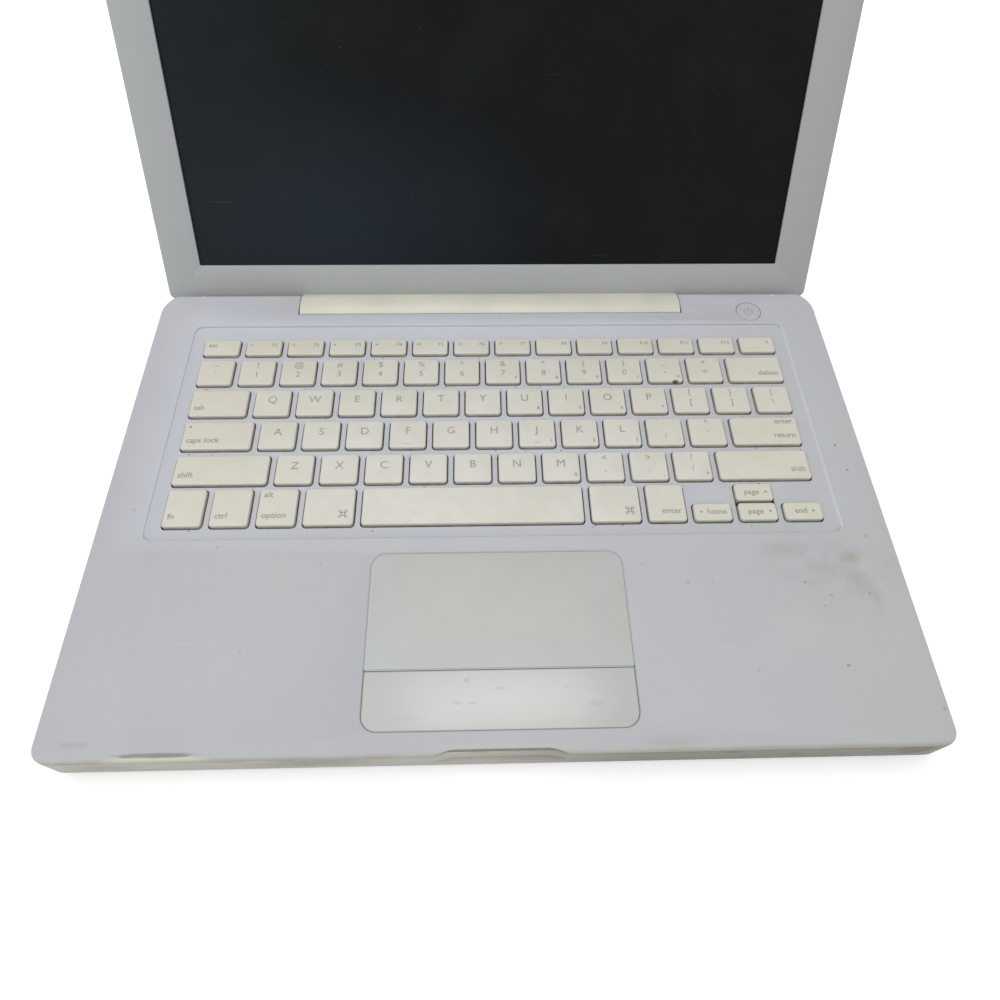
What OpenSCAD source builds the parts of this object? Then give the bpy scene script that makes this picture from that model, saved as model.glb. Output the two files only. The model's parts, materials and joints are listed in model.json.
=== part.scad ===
// A 13 inch plastic notebook computer, opened, with a cracked front rim.
// X runs across the keyboard, Y from the user to the back, Z up; the feet stand on z = 0.
// Base pieces are written about the middle of the base. Lid pieces are written closed, about
// the hinge axis, and are then opened.

/* [Base] */
// Width of the lower case
case_w = 325; // [325:1:400]
// Depth of the lower case
case_d = 226.5; // [220:0.5:290]
// Height of the palm rest above the desk
case_h = 20; // [19.5:0.1:26]
// Wall of the lower case
wall = 1.8; // [1.4:0.1:2.4]
// Height of the rubber feet below the lower case
foot_h = 1; // [0.6:0.1:2]
// Thickness of the top case at its rim
top_t = 1.7; // [1.4:0.1:2.4]
// Radius of the top case's outer edge
top_edge_r = 0.9; // [0.4:0.1:1.2]
// How far the lower case stands out past the top case
ledge = 0.1; // [0:0.05:1]
// Corner radius at the front, seen from above
front_r = 6; // [5:0.5:14]
// Corner radius at the back, seen from above
rear_r = 13; // [10:0.5:18]
// Radius of the bottom edges
bottom_r = 4.5; // [3:0.5:4.5]
// Radius of the back top edge
back_top_r = 4; // [2:0.5:4]
// Half length of the thumb notch at the front rim
thumb_half = 24.5; // [18:0.5:36]
// Depth of the thumb notch
thumb_depth = 2.2; // [0.8:0.1:2.2]

/* [Keyboard] */
// Distance from one key to the next
key_pitch = 19.05; // [18:0.05:19.2]
// Gap between neighbouring keys
key_gap = 2.85; // [2.4:0.05:3.4]
// Depth of a letter key
key_d = 15.25; // [14:0.05:16]
// Depth of a key in the top row
fn_key_d = 10.05; // [8:0.05:12]
// Depth of a key in the bottom row
low_key_d = 18.2; // [16:0.1:20]
// Corner radius of a key
key_r = 1.5; // [0.6:0.1:2.5]
// Height of a key's top above the palm rest
key_rise = 0.5; // [0:0.1:0.7]
// Height of a key cap
key_h = 3.6; // [3:0.1:4]
// Wall of a key cap
key_wall = 1.1; // [0.8:0.1:1.5]
// Clear space round a key in its opening
key_clear = 0.4; // [0.3:0.05:0.6]
// Distance from the back of the keys to the back of the base
keys_from_back = 32.3; // [30:0.1:36]
// Depth of the shallow well that the keys stand in
well_depth = 0.9; // [0.4:0.1:1.2]

/* [Touch pad] */
// Half width of the pad
pad_half = 50; // [40:0.5:56]
// Distance from the front of the base to the pad button
pad_from_front = 8.4; // [8:0.1:14]
// Depth of the pad button
button_d = 22.2; // [16:0.1:26]
// Depth of the touch surface
pad_d = 47.7; // [40:0.1:52]
// Corner radius of the pad
pad_r = 6; // [3:0.5:10]
// Clear space round the pad and its button
pad_clear = 0.3; // [0.2:0.05:0.5]

/* [Lid] */
// Thickness of the closed lid
lid_t = 7.1; // [7:0.1:10]
// Gap between the closed lid and the palm rest
lid_gap = 0.4; // [0.3:0.05:0.8]
// Length of the lid from its back edge to its front edge
lid_len = 221.95; // [215:0.05:280]
// How far the lid stands open
open_angle = 119.1; // [95:0.1:125]
// Thickness of the display bezel
bezel_t = 1.2; // [1:0.1:1.6]
// Wall of the lid's outer shell
lid_wall = 1.5; // [1:0.1:2]
// Corner radius at the front of the lid
lid_front_r = 6; // [5:0.5:14]
// Half width of the picture opening
screen_half = 144.6; // [120:0.1:146]
// Height of the picture opening
screen_len = 180.5; // [150:0.5:182]
// Distance from the hinge axis to the picture opening
screen_from_axis = 17.45; // [16:0.05:20]
// Thickness of the display panel
panel_t = 4; // [3:0.1:4.1]

/* [Hinge] */
// Distance of the hinge axis from the back of the base
axis_from_back = 3; // [2.5:0.1:4]
// Depth of the hinge axis below the palm rest
axis_drop = 4; // [3.5:0.1:5]
// Half length of the hinge cover
cover_half = 94.4; // [85:0.1:95]
// Reach of the hinge cover from the axis
cover_reach = 12.4; // [10:0.1:12.4]
// Clear space round the hinge cover
cover_clear = 0.5; // [0.4:0.05:0.8]
// Radius of the hinge pins
pin_r = 1.6; // [1.5:0.05:1.8]
// Running clearance of the hinge pins
pin_clear = 0.05; // [0.02:0.01:0.1]

/* [Damage] */
// Middle of the crack in the front rim, from the middle of the base
crack_x = -119.5; // [-140:0.5:-60]
// Length of the crack
crack_len = 24.5; // [6:0.5:36]
// Width that the crack gapes
crack_w = 0.9; // [0.4:0.1:1.2]
// Width of the lip that still stands in front of the crack
crack_lip = 1.4; // [1:0.1:2]

/* [Hidden] */

// Overlap of a cut past the face that it opens
cut = 1;
// Gap of a piece that rests in or beside another
ease = 0.2;
arc_steps = 6;

rear_y = case_d / 2;
front_y = -case_d / 2;
side_x = case_w / 2;
floor_z = foot_h + wall;
rim_z = case_h - top_t;
axis_y = rear_y - axis_from_back;
axis_z = case_h - axis_drop;

// Lid heights, measured closed and from the hinge axis
bezel_z = axis_drop + lid_gap;
lid_top_z = bezel_z + lid_t;
lid_back_y = -1.05;
lid_front_y = lid_back_y - lid_len;
lid_edge_r = 2.6;
lid_back_r = 3;

// The hinge cover: an arc above, a flat face that closes the back of the base below
cover_arc_r = 14.6;
cover_arc_y = -5.6;
cover_arc_z = -9.2;
cover_face_y = 4.3;
cover_t = 1;
cover_seam_y = -2.55;
knuckle_r = 2.6;
knuckle_in = 80;
knuckle_out = 92;
cable_r = 0.6;
tube_r = 0.75;

// The notch in the back of the base that the hinge cover turns in
notch_r = cover_reach + cover_clear;
notch_half = cover_half + 0.8;
notch_t = 1.2;
cheek_t = 1.4;
vent_w = 2.6;
vent_pitch = 5;

// Keyboard rows, each by the y of its front edge, from the back row to the front row
fn_row_y = rear_y - keys_from_back - fn_key_d;
row_step = key_d + key_gap;
num_row_y = fn_row_y - row_step;
tab_row_y = num_row_y - row_step;
caps_row_y = tab_row_y - row_step;
shift_row_y = caps_row_y - row_step;
low_gap = 2;
low_row_y = shift_row_y - low_gap - low_key_d;
row_units = 14.5;
keys_half = (row_units * key_pitch - key_gap) / 2;
key_top_z = case_h + key_rise;
key_low_z = key_top_z - key_h;
key_travel = 2.3;
fn_count = 14;
fn_pitch = (2 * keys_half + key_gap) / fn_count;
arrow_split = 0.8;
arrow_d = (low_key_d - arrow_split) / 2;
well_margin = 6.5;
well_front_y = low_row_y - 5.2;
well_back_y = fn_row_y + fn_key_d + 9.3;
well_t = 1.8;
plate_z = key_low_z - key_travel - 1;
plate_t = 0.6;
sheet_t = 0.4;
dome_h = 1.9;

pad_front_y = front_y + pad_from_front;
split_y = pad_front_y + button_d;
pad_gap = 0.4;
pad_back_y = split_y + pad_gap + pad_d;
pad_low = 0.1;
pad_t = 2;
button_t = 1.6;
bracket_t = 0.8;
bracket_lap = 8;

power_x = side_x - 33.7;
power_y = rear_y - 14.5;
power_r = 5.9;

// What lies inside the base
bay_w = 112;
bay_d = 120;
battery_h = 12;
bay_x = -83;
bay_y = front_y + 5.25;
bay_clear = 0.3;
drive_w = 126;
drive_d = 126;
drive_h = 9.5;
drive_y = front_y + 9;
drive_x = side_x - wall - ease - drive_w;
pad_h = 0.4;
drive_z = floor_z + pad_h;
slot_len = 118;
slot_h = 3.6;
slot_z = 8.4;
slot_y = front_y + 12;
disk_w = 70;
disk_d = 100;
disk_h = 9.5;
disk_x = -side_x + wall + 3;
board_z = floor_z + 1.7;
board_t = 1.2;
board_top = board_z + board_t;
board_right = 26;
board_front = 22;
board_back = rear_y - 18;
board_arm_front = -4;
board_arm_right = -90;
lock_x = -26;
lock_y = 23;
lock_r = 7;
lock_flange_r = 8.4;
fan_x = 52.5;
fan_y = 61;
fan_half = 24.5;
fan_z = floor_z + 0.2;
fan_h = 9.4;
fan_shaft_r = 1.5;
fan_blades = 21;
fin_y = fan_y + fan_half + ease;
fin_d = 7.5;

// Sockets on the left side: distance of the middle from the back, width, height, depth
power_port = [21.5, 12.6, 5.6, 4.6];
net_port = [36, 12, 8, 13];
serial_port_size = [50, 11.2, 6.2, 10];
video_port_size = [64, 13.4, 4.6, 10];
usb_port_a = [79, 12.6, 5, 12];
usb_port_b = [94, 12.6, 5, 12];
shell_t = 0.7;
mouth_clear = 0.3;
inner_x = -side_x + wall;
jack_a = 105.5;
jack_b = 113.5;
jack_r = 1.8;
jack_body = 7;
jack_len = 13;
jack_z = board_top + 3.5;
lock_slot_from_back = 132;

light_x = 145;
light_r = 1.1;
magnet_w = 16;
magnet_d = 3;
foot_r = 6.5;
foot_sink = 0.6;
foot_x = side_x - 18;
foot_front_y = front_y + 18;
foot_rear_y = rear_y - 18;
screw_r = 1.2;
screw_head_r = 2.4;
screw_head_h = 1;
screw_len = 8;
boss_r = 3;
screw_spots = [[-115, rear_y - 12], [115, rear_y - 12], [150, 32]];
bracket_len = 13;
bracket_d = 10;
bracket_z = 12;

// Extent of the opened lid towards the back, for the middle of the whole model
lid_reach_y = max([for (a = [0:90 / arc_steps:90])
    let (y = lid_front_y + lid_edge_r * (1 - sin(a)), z = lid_top_z - lid_edge_r * (1 - cos(a)))
    y * cos(open_angle) + z * sin(open_angle)]);
middle_y = (front_y + axis_y + lid_reach_y) / 2;

// Points along part of a circle
function arc(r, x, y, from, to, steps = arc_steps) =
    [for (i = [0:steps]) let (a = from + (to - from) * i / steps) [x + r * cos(a), y + r * sin(a)]];

// A rectangle with round corners, front radius and back radius
function rounded(x0, x1, y0, y1, rf, rb, steps) = concat(
    arc(rb, x1 - rb, y1 - rb, 0, 90, steps), arc(rb, x0 + rb, y1 - rb, 90, 180, steps),
    arc(rf, x0 + rf, y0 + rf, 180, 270, steps), arc(rf, x1 - rf, y0 + rf, 270, 360, steps));

module slab(x0, x1, y0, y1, z0, z1, rf, rb, steps = arc_steps) {
    translate([0, 0, z0]) linear_extrude(z1 - z0) polygon(rounded(x0, x1, y0, y1, rf, rb, steps));
}

module block(x0, x1, y0, y1, z0, z1) {
    translate([x0, y0, z0]) cube([x1 - x0, y1 - y0, z1 - z0]);
}

// A plate of the base's outline, drawn in by some amount on every side
module outline(inset, z0, z1) {
    slab(-side_x + inset, side_x - inset, front_y + inset, rear_y - inset, z0, z1,
        max(front_r - inset, 1), max(rear_r - inset, 1));
}

// The lower case's outer form, with round bottom edges
module case_form() {
    r = bottom_r;
    hull() {
        for (a = [0:90 / 4:80])
            outline(r * (1 - sin(a)), foot_h + r * (1 - cos(a)), foot_h + r * (1 - cos(a)) + 0.01);
        outline(0, foot_h + r, rim_z);
    }
}

// What is cut away to round the back top edge
module back_edge_cut() {
    r = back_top_r;
    translate([-side_x - cut, 0, 0]) rotate([90, 0, 90]) linear_extrude(case_w + 2 * cut)
        polygon(concat([[rear_y + cut, case_h - r], [rear_y + cut, case_h + cut],
            [rear_y - r, case_h + cut]], arc(r, rear_y - r, case_h - r, 90, 0)));
}

// A prism along X from a profile in Y and Z about the hinge axis
module along_x(x0, x1) {
    translate([x0, axis_y, axis_z]) rotate([90, 0, 90]) linear_extrude(x1 - x0) children();
}

// The space that the hinge cover turns in
module notch_space() {
    reach = sqrt(notch_r * notch_r - axis_drop * axis_drop);
    far = axis_from_back + cut;
    from = 180 - asin(axis_drop / notch_r);
    along_x(-notch_half, notch_half)
        polygon(concat([[far, axis_drop + cut], [-reach, axis_drop + cut]],
            arc(notch_r, 0, 0, from, 270, 16), [[far, -notch_r]]));
}

// The filled place of the notch, from which the notch leaves a curved wall and two cheeks
module notch_block() {
    top = rim_z - axis_z;
    low = foot_h - axis_z;
    back = axis_from_back - 0.9;
    from = 180 - asin(top / (notch_r + notch_t));
    along_x(-notch_half - cheek_t, notch_half + cheek_t)
        polygon(concat(arc(notch_r + notch_t, 0, 0, from, 256, 8),
            [[axis_from_back - bottom_r, low + wall - ease], [back, low + bottom_r + 0.5], [back, top]]));
}

module vents() {
    count = floor((notch_half - 4) / vent_pitch);
    for (i = [-count:count])
        block(i * vent_pitch - vent_w / 2, i * vent_pitch + vent_w / 2,
            axis_y - notch_r - notch_t - cut, axis_y - notch_r * 0.75, axis_z - 7, axis_z - 1);
}

// The finger notch at the middle of the front rim
module thumb_notch(z0, z1, spare) {
    half = thumb_half + spare;
    deep = thumb_depth + spare;
    translate([0, front_y, z0]) linear_extrude(z1 - z0)
        polygon([[-half, -cut], [-half, 0], [-half + 2, deep * 0.28], [-half + 4, deep * 0.62],
            [-half + 6, deep * 0.88], [-half + 8, deep], [half - 8, deep], [half - 6, deep * 0.88],
            [half - 4, deep * 0.62], [half - 2, deep * 0.28], [half, 0], [half, -cut]]);
}

module screw_bosses() {
    for (p = screw_spots)
        translate([p[0], p[1], floor_z - ease]) cylinder(h = rim_z - floor_z + ease, r = boss_r, $fn = 32);
}

module screw_holes() {
    for (p = screw_spots) translate([p[0], p[1], foot_h]) {
        translate([0, 0, -cut]) cylinder(h = screw_len + cut, r = screw_r + 0.05, $fn = 24);
        translate([0, 0, -cut]) cylinder(h = screw_head_h + cut, r = screw_head_r + ease, $fn = 32);
    }
}

// The hole in the left wall in front of a socket
module port_hole(size) {
    y = rear_y - size[0];
    block(-side_x - cut, inner_x + cut, y - size[1] / 2 - mouth_clear, y + size[1] / 2 + mouth_clear,
        board_top + shell_t - mouth_clear, board_top + shell_t + size[2] + mouth_clear);
}

module drive_pads() {
    for (y = [front_y + 20, front_y + 100]) {
        block(disk_x + 4, disk_x + disk_w - 4, y, y + 4, floor_z - ease, drive_z);
        block(drive_x + 4, drive_x + drive_w - 4, y, y + 4, floor_z - ease, drive_z);
    }
}

module board_posts() {
    for (p = [[-140, 6], [-140, 84], [-60, 30], [-60, 84], [14, 36], [14, 84]])
        translate([p[0], p[1], floor_z - ease]) cylinder(h = board_z - floor_z + ease, r = 2.5, $fn = 24);
}

module bay_ribs() {
    rib = 1.2;
    top = foot_h + battery_h - 1;
    left = bay_x - bay_clear - 0.8;
    right = bay_x + bay_w + bay_clear + 0.8;
    back = bay_y + bay_d + bay_clear + 0.8;
    block(left - rib, left, bay_y, back + rib, floor_z - ease, top);
    block(right, right + rib, bay_y, back + rib, floor_z - ease, top);
    for (x = [left, lock_x + 12])
        block(x, x == left ? lock_x - 12 : right, back, back + rib, floor_z - ease, top);
}

module bottom_case() {
    color([0.83, 0.81, 0.74]) difference() {
        union() {
            difference() {
                case_form();
                outline(wall, floor_z, rim_z + cut);
            }
            notch_block();
            bay_ribs();
            drive_pads();
            board_posts();
            screw_bosses();
        }
        notch_space();
        back_edge_cut();
        vents();
        thumb_notch(foot_h + 10, rim_z + cut, -0.9);
        slab(bay_x - bay_clear, bay_x + bay_w + bay_clear, bay_y - bay_clear,
            bay_y + bay_d + bay_clear, 0, floor_z + cut, 3, 3);
        translate([lock_x, lock_y, 0]) cylinder(h = floor_z + cut, r = lock_r + ease, $fn = 48);
        screw_holes();
        for (x = [-foot_x, foot_x], y = [foot_front_y, foot_rear_y])
            translate([x, y, foot_h - cut]) cylinder(h = cut + foot_sink, r = foot_r + 0.1, $fn = 48);
        for (size = [power_port, net_port, serial_port_size, video_port_size, usb_port_a, usb_port_b])
            port_hole(size);
        for (d = [jack_a, jack_b]) translate([-side_x - cut, rear_y - d, jack_z]) rotate([0, 90, 0])
            cylinder(h = wall + 2 * cut, r = jack_r + 0.4, $fn = 32);
        block(-side_x - cut, inner_x + cut, rear_y - lock_slot_from_back - 3.5,
            rear_y - lock_slot_from_back + 3.5, 7, 10);
        block(side_x - wall - cut, side_x + cut, slot_y, slot_y + slot_len, slot_z, slot_z + slot_h);
        translate([light_x, front_y - cut, 11]) rotate([-90, 0, 0])
            cylinder(h = wall + 2 * cut, r = light_r + 0.05, $fn = 24);
        for (side = [-1, 1]) along_x(side * notch_half - 2 * cut, side * notch_half + 2 * cut)
            circle(r = pin_r + 0.3, $fn = 32);
    }
}

// A key by its left edge, front edge, width and depth
module key_cap(x, y, w, d) {
    color([0.82, 0.81, 0.75]) difference() {
        slab(x, x + w, y, y + d, key_low_z, key_top_z, key_r, key_r, 3);
        block(x + key_wall, x + w - key_wall, y + key_wall, y + d - key_wall,
            key_low_z - cut, key_top_z - key_wall);
    }
}

module key_hole(x, y, w, d) {
    slab(x - key_clear, x + w + key_clear, y - key_clear, y + d + key_clear,
        plate_z, case_h + cut, key_r + key_clear, key_r + key_clear, 3);
}

// Width of a key that takes up a number of units, and the left edge of a place in a row
function units(n) = n * key_pitch - key_gap;
function place(n) = -keys_half + n * key_pitch;

// Every key as [left edge, front edge, width, depth], by the node that holds it
function key_row(first, count, y, d) =
    [for (i = [0:count - 1]) [place(first + i), y, units(1), d]];
function one_key(first, wide, y, d) = [[place(first), y, units(wide), d]];
fn_set = [for (i = [0:fn_count - 1]) [-keys_half + i * fn_pitch, fn_row_y, fn_pitch - key_gap, fn_key_d]];
number_set = key_row(0, 13, num_row_y, key_d);
delete_set = one_key(13, 1.5, num_row_y, key_d);
tab_set = one_key(0, 1.5, tab_row_y, key_d);
top_letter_set = key_row(1.5, 13, tab_row_y, key_d);
caps_set = one_key(0, 1.75, caps_row_y, key_d);
home_letter_set = key_row(1.75, 11, caps_row_y, key_d);
return_set = one_key(12.75, 1.75, caps_row_y, key_d);
left_shift_set = one_key(0, 2.25, shift_row_y, key_d);
low_letter_set = key_row(2.25, 10, shift_row_y, key_d);
right_shift_set = one_key(12.25, 2.25, shift_row_y, key_d);
fn_key_set = one_key(0, 1, low_row_y, low_key_d);
control_set = one_key(1, 1, low_row_y, low_key_d);
option_set = one_key(2, 1, low_row_y, low_key_d);
left_command_set = one_key(3, 1.25, low_row_y, low_key_d);
space_set = one_key(4.25, 5, low_row_y, low_key_d);
right_command_set = one_key(9.25, 1.25, low_row_y, low_key_d);
enter_set = one_key(10.5, 1, low_row_y, low_key_d);
arrow_set = [[place(11.5), low_row_y, units(1), arrow_d], [place(12.5), low_row_y, units(1), arrow_d],
    [place(12.5), low_row_y + arrow_d + arrow_split, units(1), arrow_d],
    [place(13.5), low_row_y, units(1), arrow_d]];
all_keys = concat(fn_set, number_set, delete_set, tab_set, top_letter_set, caps_set, home_letter_set,
    return_set, left_shift_set, low_letter_set, right_shift_set, fn_key_set, control_set, option_set,
    left_command_set, space_set, right_command_set, enter_set, arrow_set);

module keys(set) {
    for (k = set) key_cap(k[0], k[1], k[2], k[3]);
}

// The crack in the front rim: a ragged slot behind a lip that still stands
module crack() {
    half = crack_len / 2;
    translate([crack_x, front_y + crack_lip, rim_z - cut]) linear_extrude(top_t + 2 * cut)
        polygon([[-half, crack_w * 0.3], [-half + 2.5, 0], [-half + 8, 0.05], [-1, -0.05], [5, 0],
            [half - 3, 0], [half, crack_w * 0.4], [half - 2, crack_w * 0.75], [half - 6, crack_w],
            [3, crack_w * 1.1], [-2, crack_w * 0.85], [-half + 6, crack_w * 0.95],
            [-half + 2, crack_w * 0.7]]);
}

module top_case() {
    edge = top_edge_r;
    color([0.74, 0.74, 0.75]) difference() {
        union() {
            hull() {
                outline(ledge, rim_z, case_h - edge);
                for (a = [30, 60, 90])
                    outline(ledge + edge * (1 - cos(a)), case_h - edge * (1 - sin(a)) - 0.01,
                        case_h - edge * (1 - sin(a)));
            }
            slab(-keys_half - well_margin - 2, keys_half + well_margin + 2, well_front_y - 1,
                well_back_y, case_h - well_depth - well_t, rim_z, 2, 2);
            for (x = [-1, 1]) block(x * (keys_half + 3) - 1, x * (keys_half + 3) + 1, low_row_y - 2,
                fn_row_y + fn_key_d + 2, plate_z + plate_t, rim_z - 0.1);
            for (y = [low_row_y - 3, fn_row_y + fn_key_d + 1])
                block(-keys_half - 2, keys_half + 2, y, y + 2, plate_z + plate_t, rim_z - 0.1);
        }
        slab(-keys_half - well_margin, keys_half + well_margin, well_front_y, well_back_y,
            case_h - well_depth, case_h + cut, 4, 4);
        for (k = all_keys) key_hole(k[0], k[1], k[2], k[3]);
        block(place(12.5) - key_clear, place(12.5) + units(1) + key_clear, low_row_y + 1,
            low_row_y + low_key_d - 1, plate_z, case_h + cut);
        slab(-pad_half - pad_clear, pad_half + pad_clear, pad_front_y - pad_clear,
            pad_back_y + pad_clear, rim_z - 2, case_h + cut, pad_r + pad_clear, pad_r + pad_clear);
        translate([power_x, power_y, rim_z - cut])
            cylinder(h = top_t + 2 * cut, r = power_r + 0.3, $fn = 64);
        thumb_notch(rim_z - cut, case_h + cut, 0);
        crack();
        back_edge_cut();
        notch_space();
    }
}

module keyboard_plate() {
    color([0.6, 0.6, 0.62]) slab(-keys_half - 4, keys_half + 4, low_row_y - 3, fn_row_y + fn_key_d + 3,
        plate_z, plate_z + plate_t, 1, 1);
}

module dome_sheet() {
    z = plate_z + plate_t;
    color([0.85, 0.85, 0.83]) union() {
        slab(-keys_half - 1, keys_half + 1, low_row_y - 0.5, fn_row_y + fn_key_d + 0.5,
            z, z + sheet_t, 1, 1);
        for (k = all_keys) translate([k[0] + k[2] / 2, k[1] + k[3] / 2, z])
            cylinder(h = sheet_t + dome_h, r = min(3, k[3] / 2 - key_wall - 0.6), $fn = 8);
    }
}

module trackpad() {
    color([0.76, 0.75, 0.74]) slab(-pad_half, pad_half, split_y + pad_gap, pad_back_y,
        case_h - pad_low - pad_t, case_h - pad_low, 0.5, pad_r);
}

module trackpad_button() {
    color([0.79, 0.8, 0.8]) slab(-pad_half, pad_half, pad_front_y, split_y,
        case_h - pad_low - button_t, case_h - pad_low, pad_r, 0.5);
}

module trackpad_bracket() {
    top = case_h - pad_low - pad_t;
    wide = pad_half + bracket_lap;
    color([0.62, 0.62, 0.63]) difference() {
        union() {
            block(-wide, wide, pad_front_y - 2.5, pad_back_y + 3, top - bracket_t, top);
            for (x = [-wide, pad_half + 2]) block(x, x + bracket_lap - 2, pad_front_y - 2.5,
                well_front_y - 2, top - ease, rim_z);
        }
        for (x = [-30, 8]) block(x, x + 22, split_y + 10, split_y + 34, top - bracket_t - cut, top + cut);
    }
}

module power_button() {
    color([0.74, 0.74, 0.75]) union() {
        translate([power_x, power_y, rim_z - 1.2]) cylinder(h = top_t + 1.1, r = power_r, $fn = 64);
        translate([power_x, power_y, rim_z - 1.4]) cylinder(h = 1.2, r = power_r + 1.4, $fn = 64);
    }
}

module battery() {
    color([0.84, 0.82, 0.76]) difference() {
        slab(bay_x, bay_x + bay_w, bay_y, bay_y + bay_d, foot_h, foot_h + battery_h, 2.7, 2.7);
        block(lock_x - 12, lock_x + 12, bay_y + bay_d - 4, bay_y + bay_d + cut, floor_z - 0.3, floor_z + 2);
    }
}

module battery_lock() {
    tongue = lock_y - bay_y - bay_d + 3;
    color([0.7, 0.7, 0.7]) translate([lock_x, lock_y, 0]) difference() {
        union() {
            translate([0, 0, foot_h]) cylinder(h = wall + ease, r = lock_r, $fn = 48);
            translate([0, 0, floor_z + 0.05]) cylinder(h = 1.2, r = lock_flange_r, $fn = 48);
            block(-2.5, 2.5, -tongue, 0, floor_z + 0.05, floor_z + 1.25);
        }
        block(-lock_r, lock_r, -0.9, 0.9, 0, foot_h + 1.1);
    }
}

module logic_board() {
    socket_y = 54;
    color([0.1, 0.28, 0.2]) union() {
        block(inner_x + 1, board_right, board_front, board_back, board_z, board_top);
        block(inner_x + 1, board_arm_right, board_arm_front, board_front + cut, board_z, board_top);
        block(-106, -28, socket_y, socket_y + 5, board_top - ease, board_top + 5);
        block(-24, -6, 66, 82, board_top - ease, board_top + 0.6);
        block(-64, -46, 64, 66, board_top - ease, board_top + 1.6);
        block(-104, -88, 68, 82, board_top - ease, board_top + 1.4);
    }
}

module memory_modules() {
    for (z = [board_top + 0.6, board_top + 3])
        color([0.12, 0.3, 0.2]) block(-101, -33.4, 54 - 30, 54, z, z + 1.4);
}

module heatsink() {
    low = floor_z + 1;
    fins = 16;
    pitch = (2 * fan_half - 1) / (fins - 1);
    color([0.72, 0.45, 0.3]) union() {
        for (i = [0:fins - 1])
            block(fan_x - fan_half + i * pitch, fan_x - fan_half + i * pitch + 1, fin_y, fin_y + fin_d,
                low, low + 8);
        for (z = [low, low + 7.2])
            block(fan_x - fan_half, fan_x + fan_half, fin_y, fin_y + fin_d, z, z + 0.8);
        block(-22, fan_x, fin_y + 0.6, fin_y + 5.6, board_top + 2, board_top + 4);
        block(-25, -5, 64, fin_y + 5.6, board_top + 0.6, board_top + 2.2);
    }
}

module fan_housing() {
    color([0.15, 0.15, 0.16]) union() {
        difference() {
            block(fan_x - fan_half, fan_x + fan_half, fan_y - fan_half, fan_y + fan_half,
                fan_z, fan_z + fan_h);
            translate([fan_x, fan_y, fan_z + 1]) cylinder(h = fan_h - 2, r = fan_half - 1.5, $fn = 96);
            translate([fan_x, fan_y, fan_z + fan_h - 2]) cylinder(h = 3, r = 14, $fn = 96);
            block(fan_x - fan_half + 3, fan_x + fan_half - 3, fan_y, fan_y + fan_half + cut,
                fan_z + 1, fan_z + fan_h - 1);
        }
        translate([fan_x, fan_y, fan_z + 0.5]) cylinder(h = 5, r = fan_shaft_r, $fn = 48);
    }
}

module fan_rotor() {
    low = fan_z + 1.4;
    color([0.2, 0.2, 0.21]) translate([fan_x, fan_y, 0]) difference() {
        union() {
            translate([0, 0, low]) cylinder(h = 6.2, r = 9, $fn = 64);
            for (i = [0:fan_blades - 1]) rotate([0, 0, i * 360 / fan_blades])
                translate([8.2, 0, low + 0.6]) rotate([0, 0, 25]) cube([12.5, 0.8, 5.6]);
        }
        translate([0, 0, low - cut]) cylinder(h = 5.8, r = fan_shaft_r + 0.05, $fn = 48);
    }
}

module optical_drive() {
    color([0.66, 0.67, 0.68]) difference() {
        block(drive_x, drive_x + drive_w, drive_y, drive_y + drive_d, drive_z, drive_z + drive_h);
        block(drive_x + drive_w - 40, drive_x + drive_w + cut, slot_y - 1, slot_y + slot_len + 1,
            slot_z - 0.4, slot_z + slot_h + 0.4);
    }
}

module slot_felt() {
    x = side_x - wall - 1.6;
    lip = 1.3;
    color([0.12, 0.12, 0.12]) {
        block(x - 4, x, slot_y, slot_y + slot_len, slot_z - 0.4, slot_z + lip - 0.1);
        block(x - 4, x, slot_y, slot_y + slot_len, slot_z + slot_h - lip + 0.1, slot_z + slot_h + 0.4);
    }
}

module hard_drive() {
    color([0.6, 0.61, 0.62]) slab(disk_x, disk_x + disk_w, front_y + 7, front_y + 7 + disk_d,
        drive_z, drive_z + disk_h, 1.5, 1.5);
}

module wireless_card() {
    color([0.1, 0.3, 0.22]) block(-82, -50, 66.1, 88, board_top + 0.3, board_top + 1.5);
}

module speakers() {
    color([0.13, 0.13, 0.14]) {
        slab(-142, -112, rear_y - 46, rear_y - 24, board_top + 0.3, floor_z + 9.6, 3, 3);
        slab(112, 142, rear_y - 56, rear_y - 24, floor_z + 0.2, floor_z + 9.6, 3, 3);
    }
}

// A metal socket that stands on the board behind the left wall
module socket(size) {
    y = rear_y - size[0];
    difference() {
        block(inner_x + 0.1, inner_x + size[3] + 1, y - size[1] / 2 - shell_t, y + size[1] / 2 + shell_t,
            board_top, board_top + size[2] + 2 * shell_t);
        block(inner_x - cut, inner_x + size[3], y - size[1] / 2, y + size[1] / 2,
            board_top + shell_t, board_top + shell_t + size[2]);
    }
}

module power_inlet() {
    y = rear_y - power_port[0];
    color([0.7, 0.7, 0.71]) union() {
        socket(power_port);
        for (i = [-2:2])
            translate([inner_x + power_port[3] - 1, y + i * 2.2, board_top + shell_t + power_port[2] / 2])
                rotate([0, 90, 0]) cylinder(h = 1.5, r = 0.55, $fn = 16);
    }
}

module network_port() {
    color([0.72, 0.72, 0.73]) socket(net_port);
}

module serial_port() {
    color([0.7, 0.7, 0.71]) socket(serial_port_size);
}

module video_port() {
    color([0.7, 0.7, 0.71]) socket(video_port_size);
}

module usb_ports() {
    tongue_t = 1.8;
    for (size = [usb_port_a, usb_port_b]) color([0.78, 0.78, 0.79]) union() {
        socket(size);
        block(inner_x + 4.8, inner_x + size[3] + 0.5, rear_y - size[0] - 5.5, rear_y - size[0] + 5.5,
            board_top + shell_t + 1.4, board_top + shell_t + 1.4 + tongue_t);
    }
}

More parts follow.
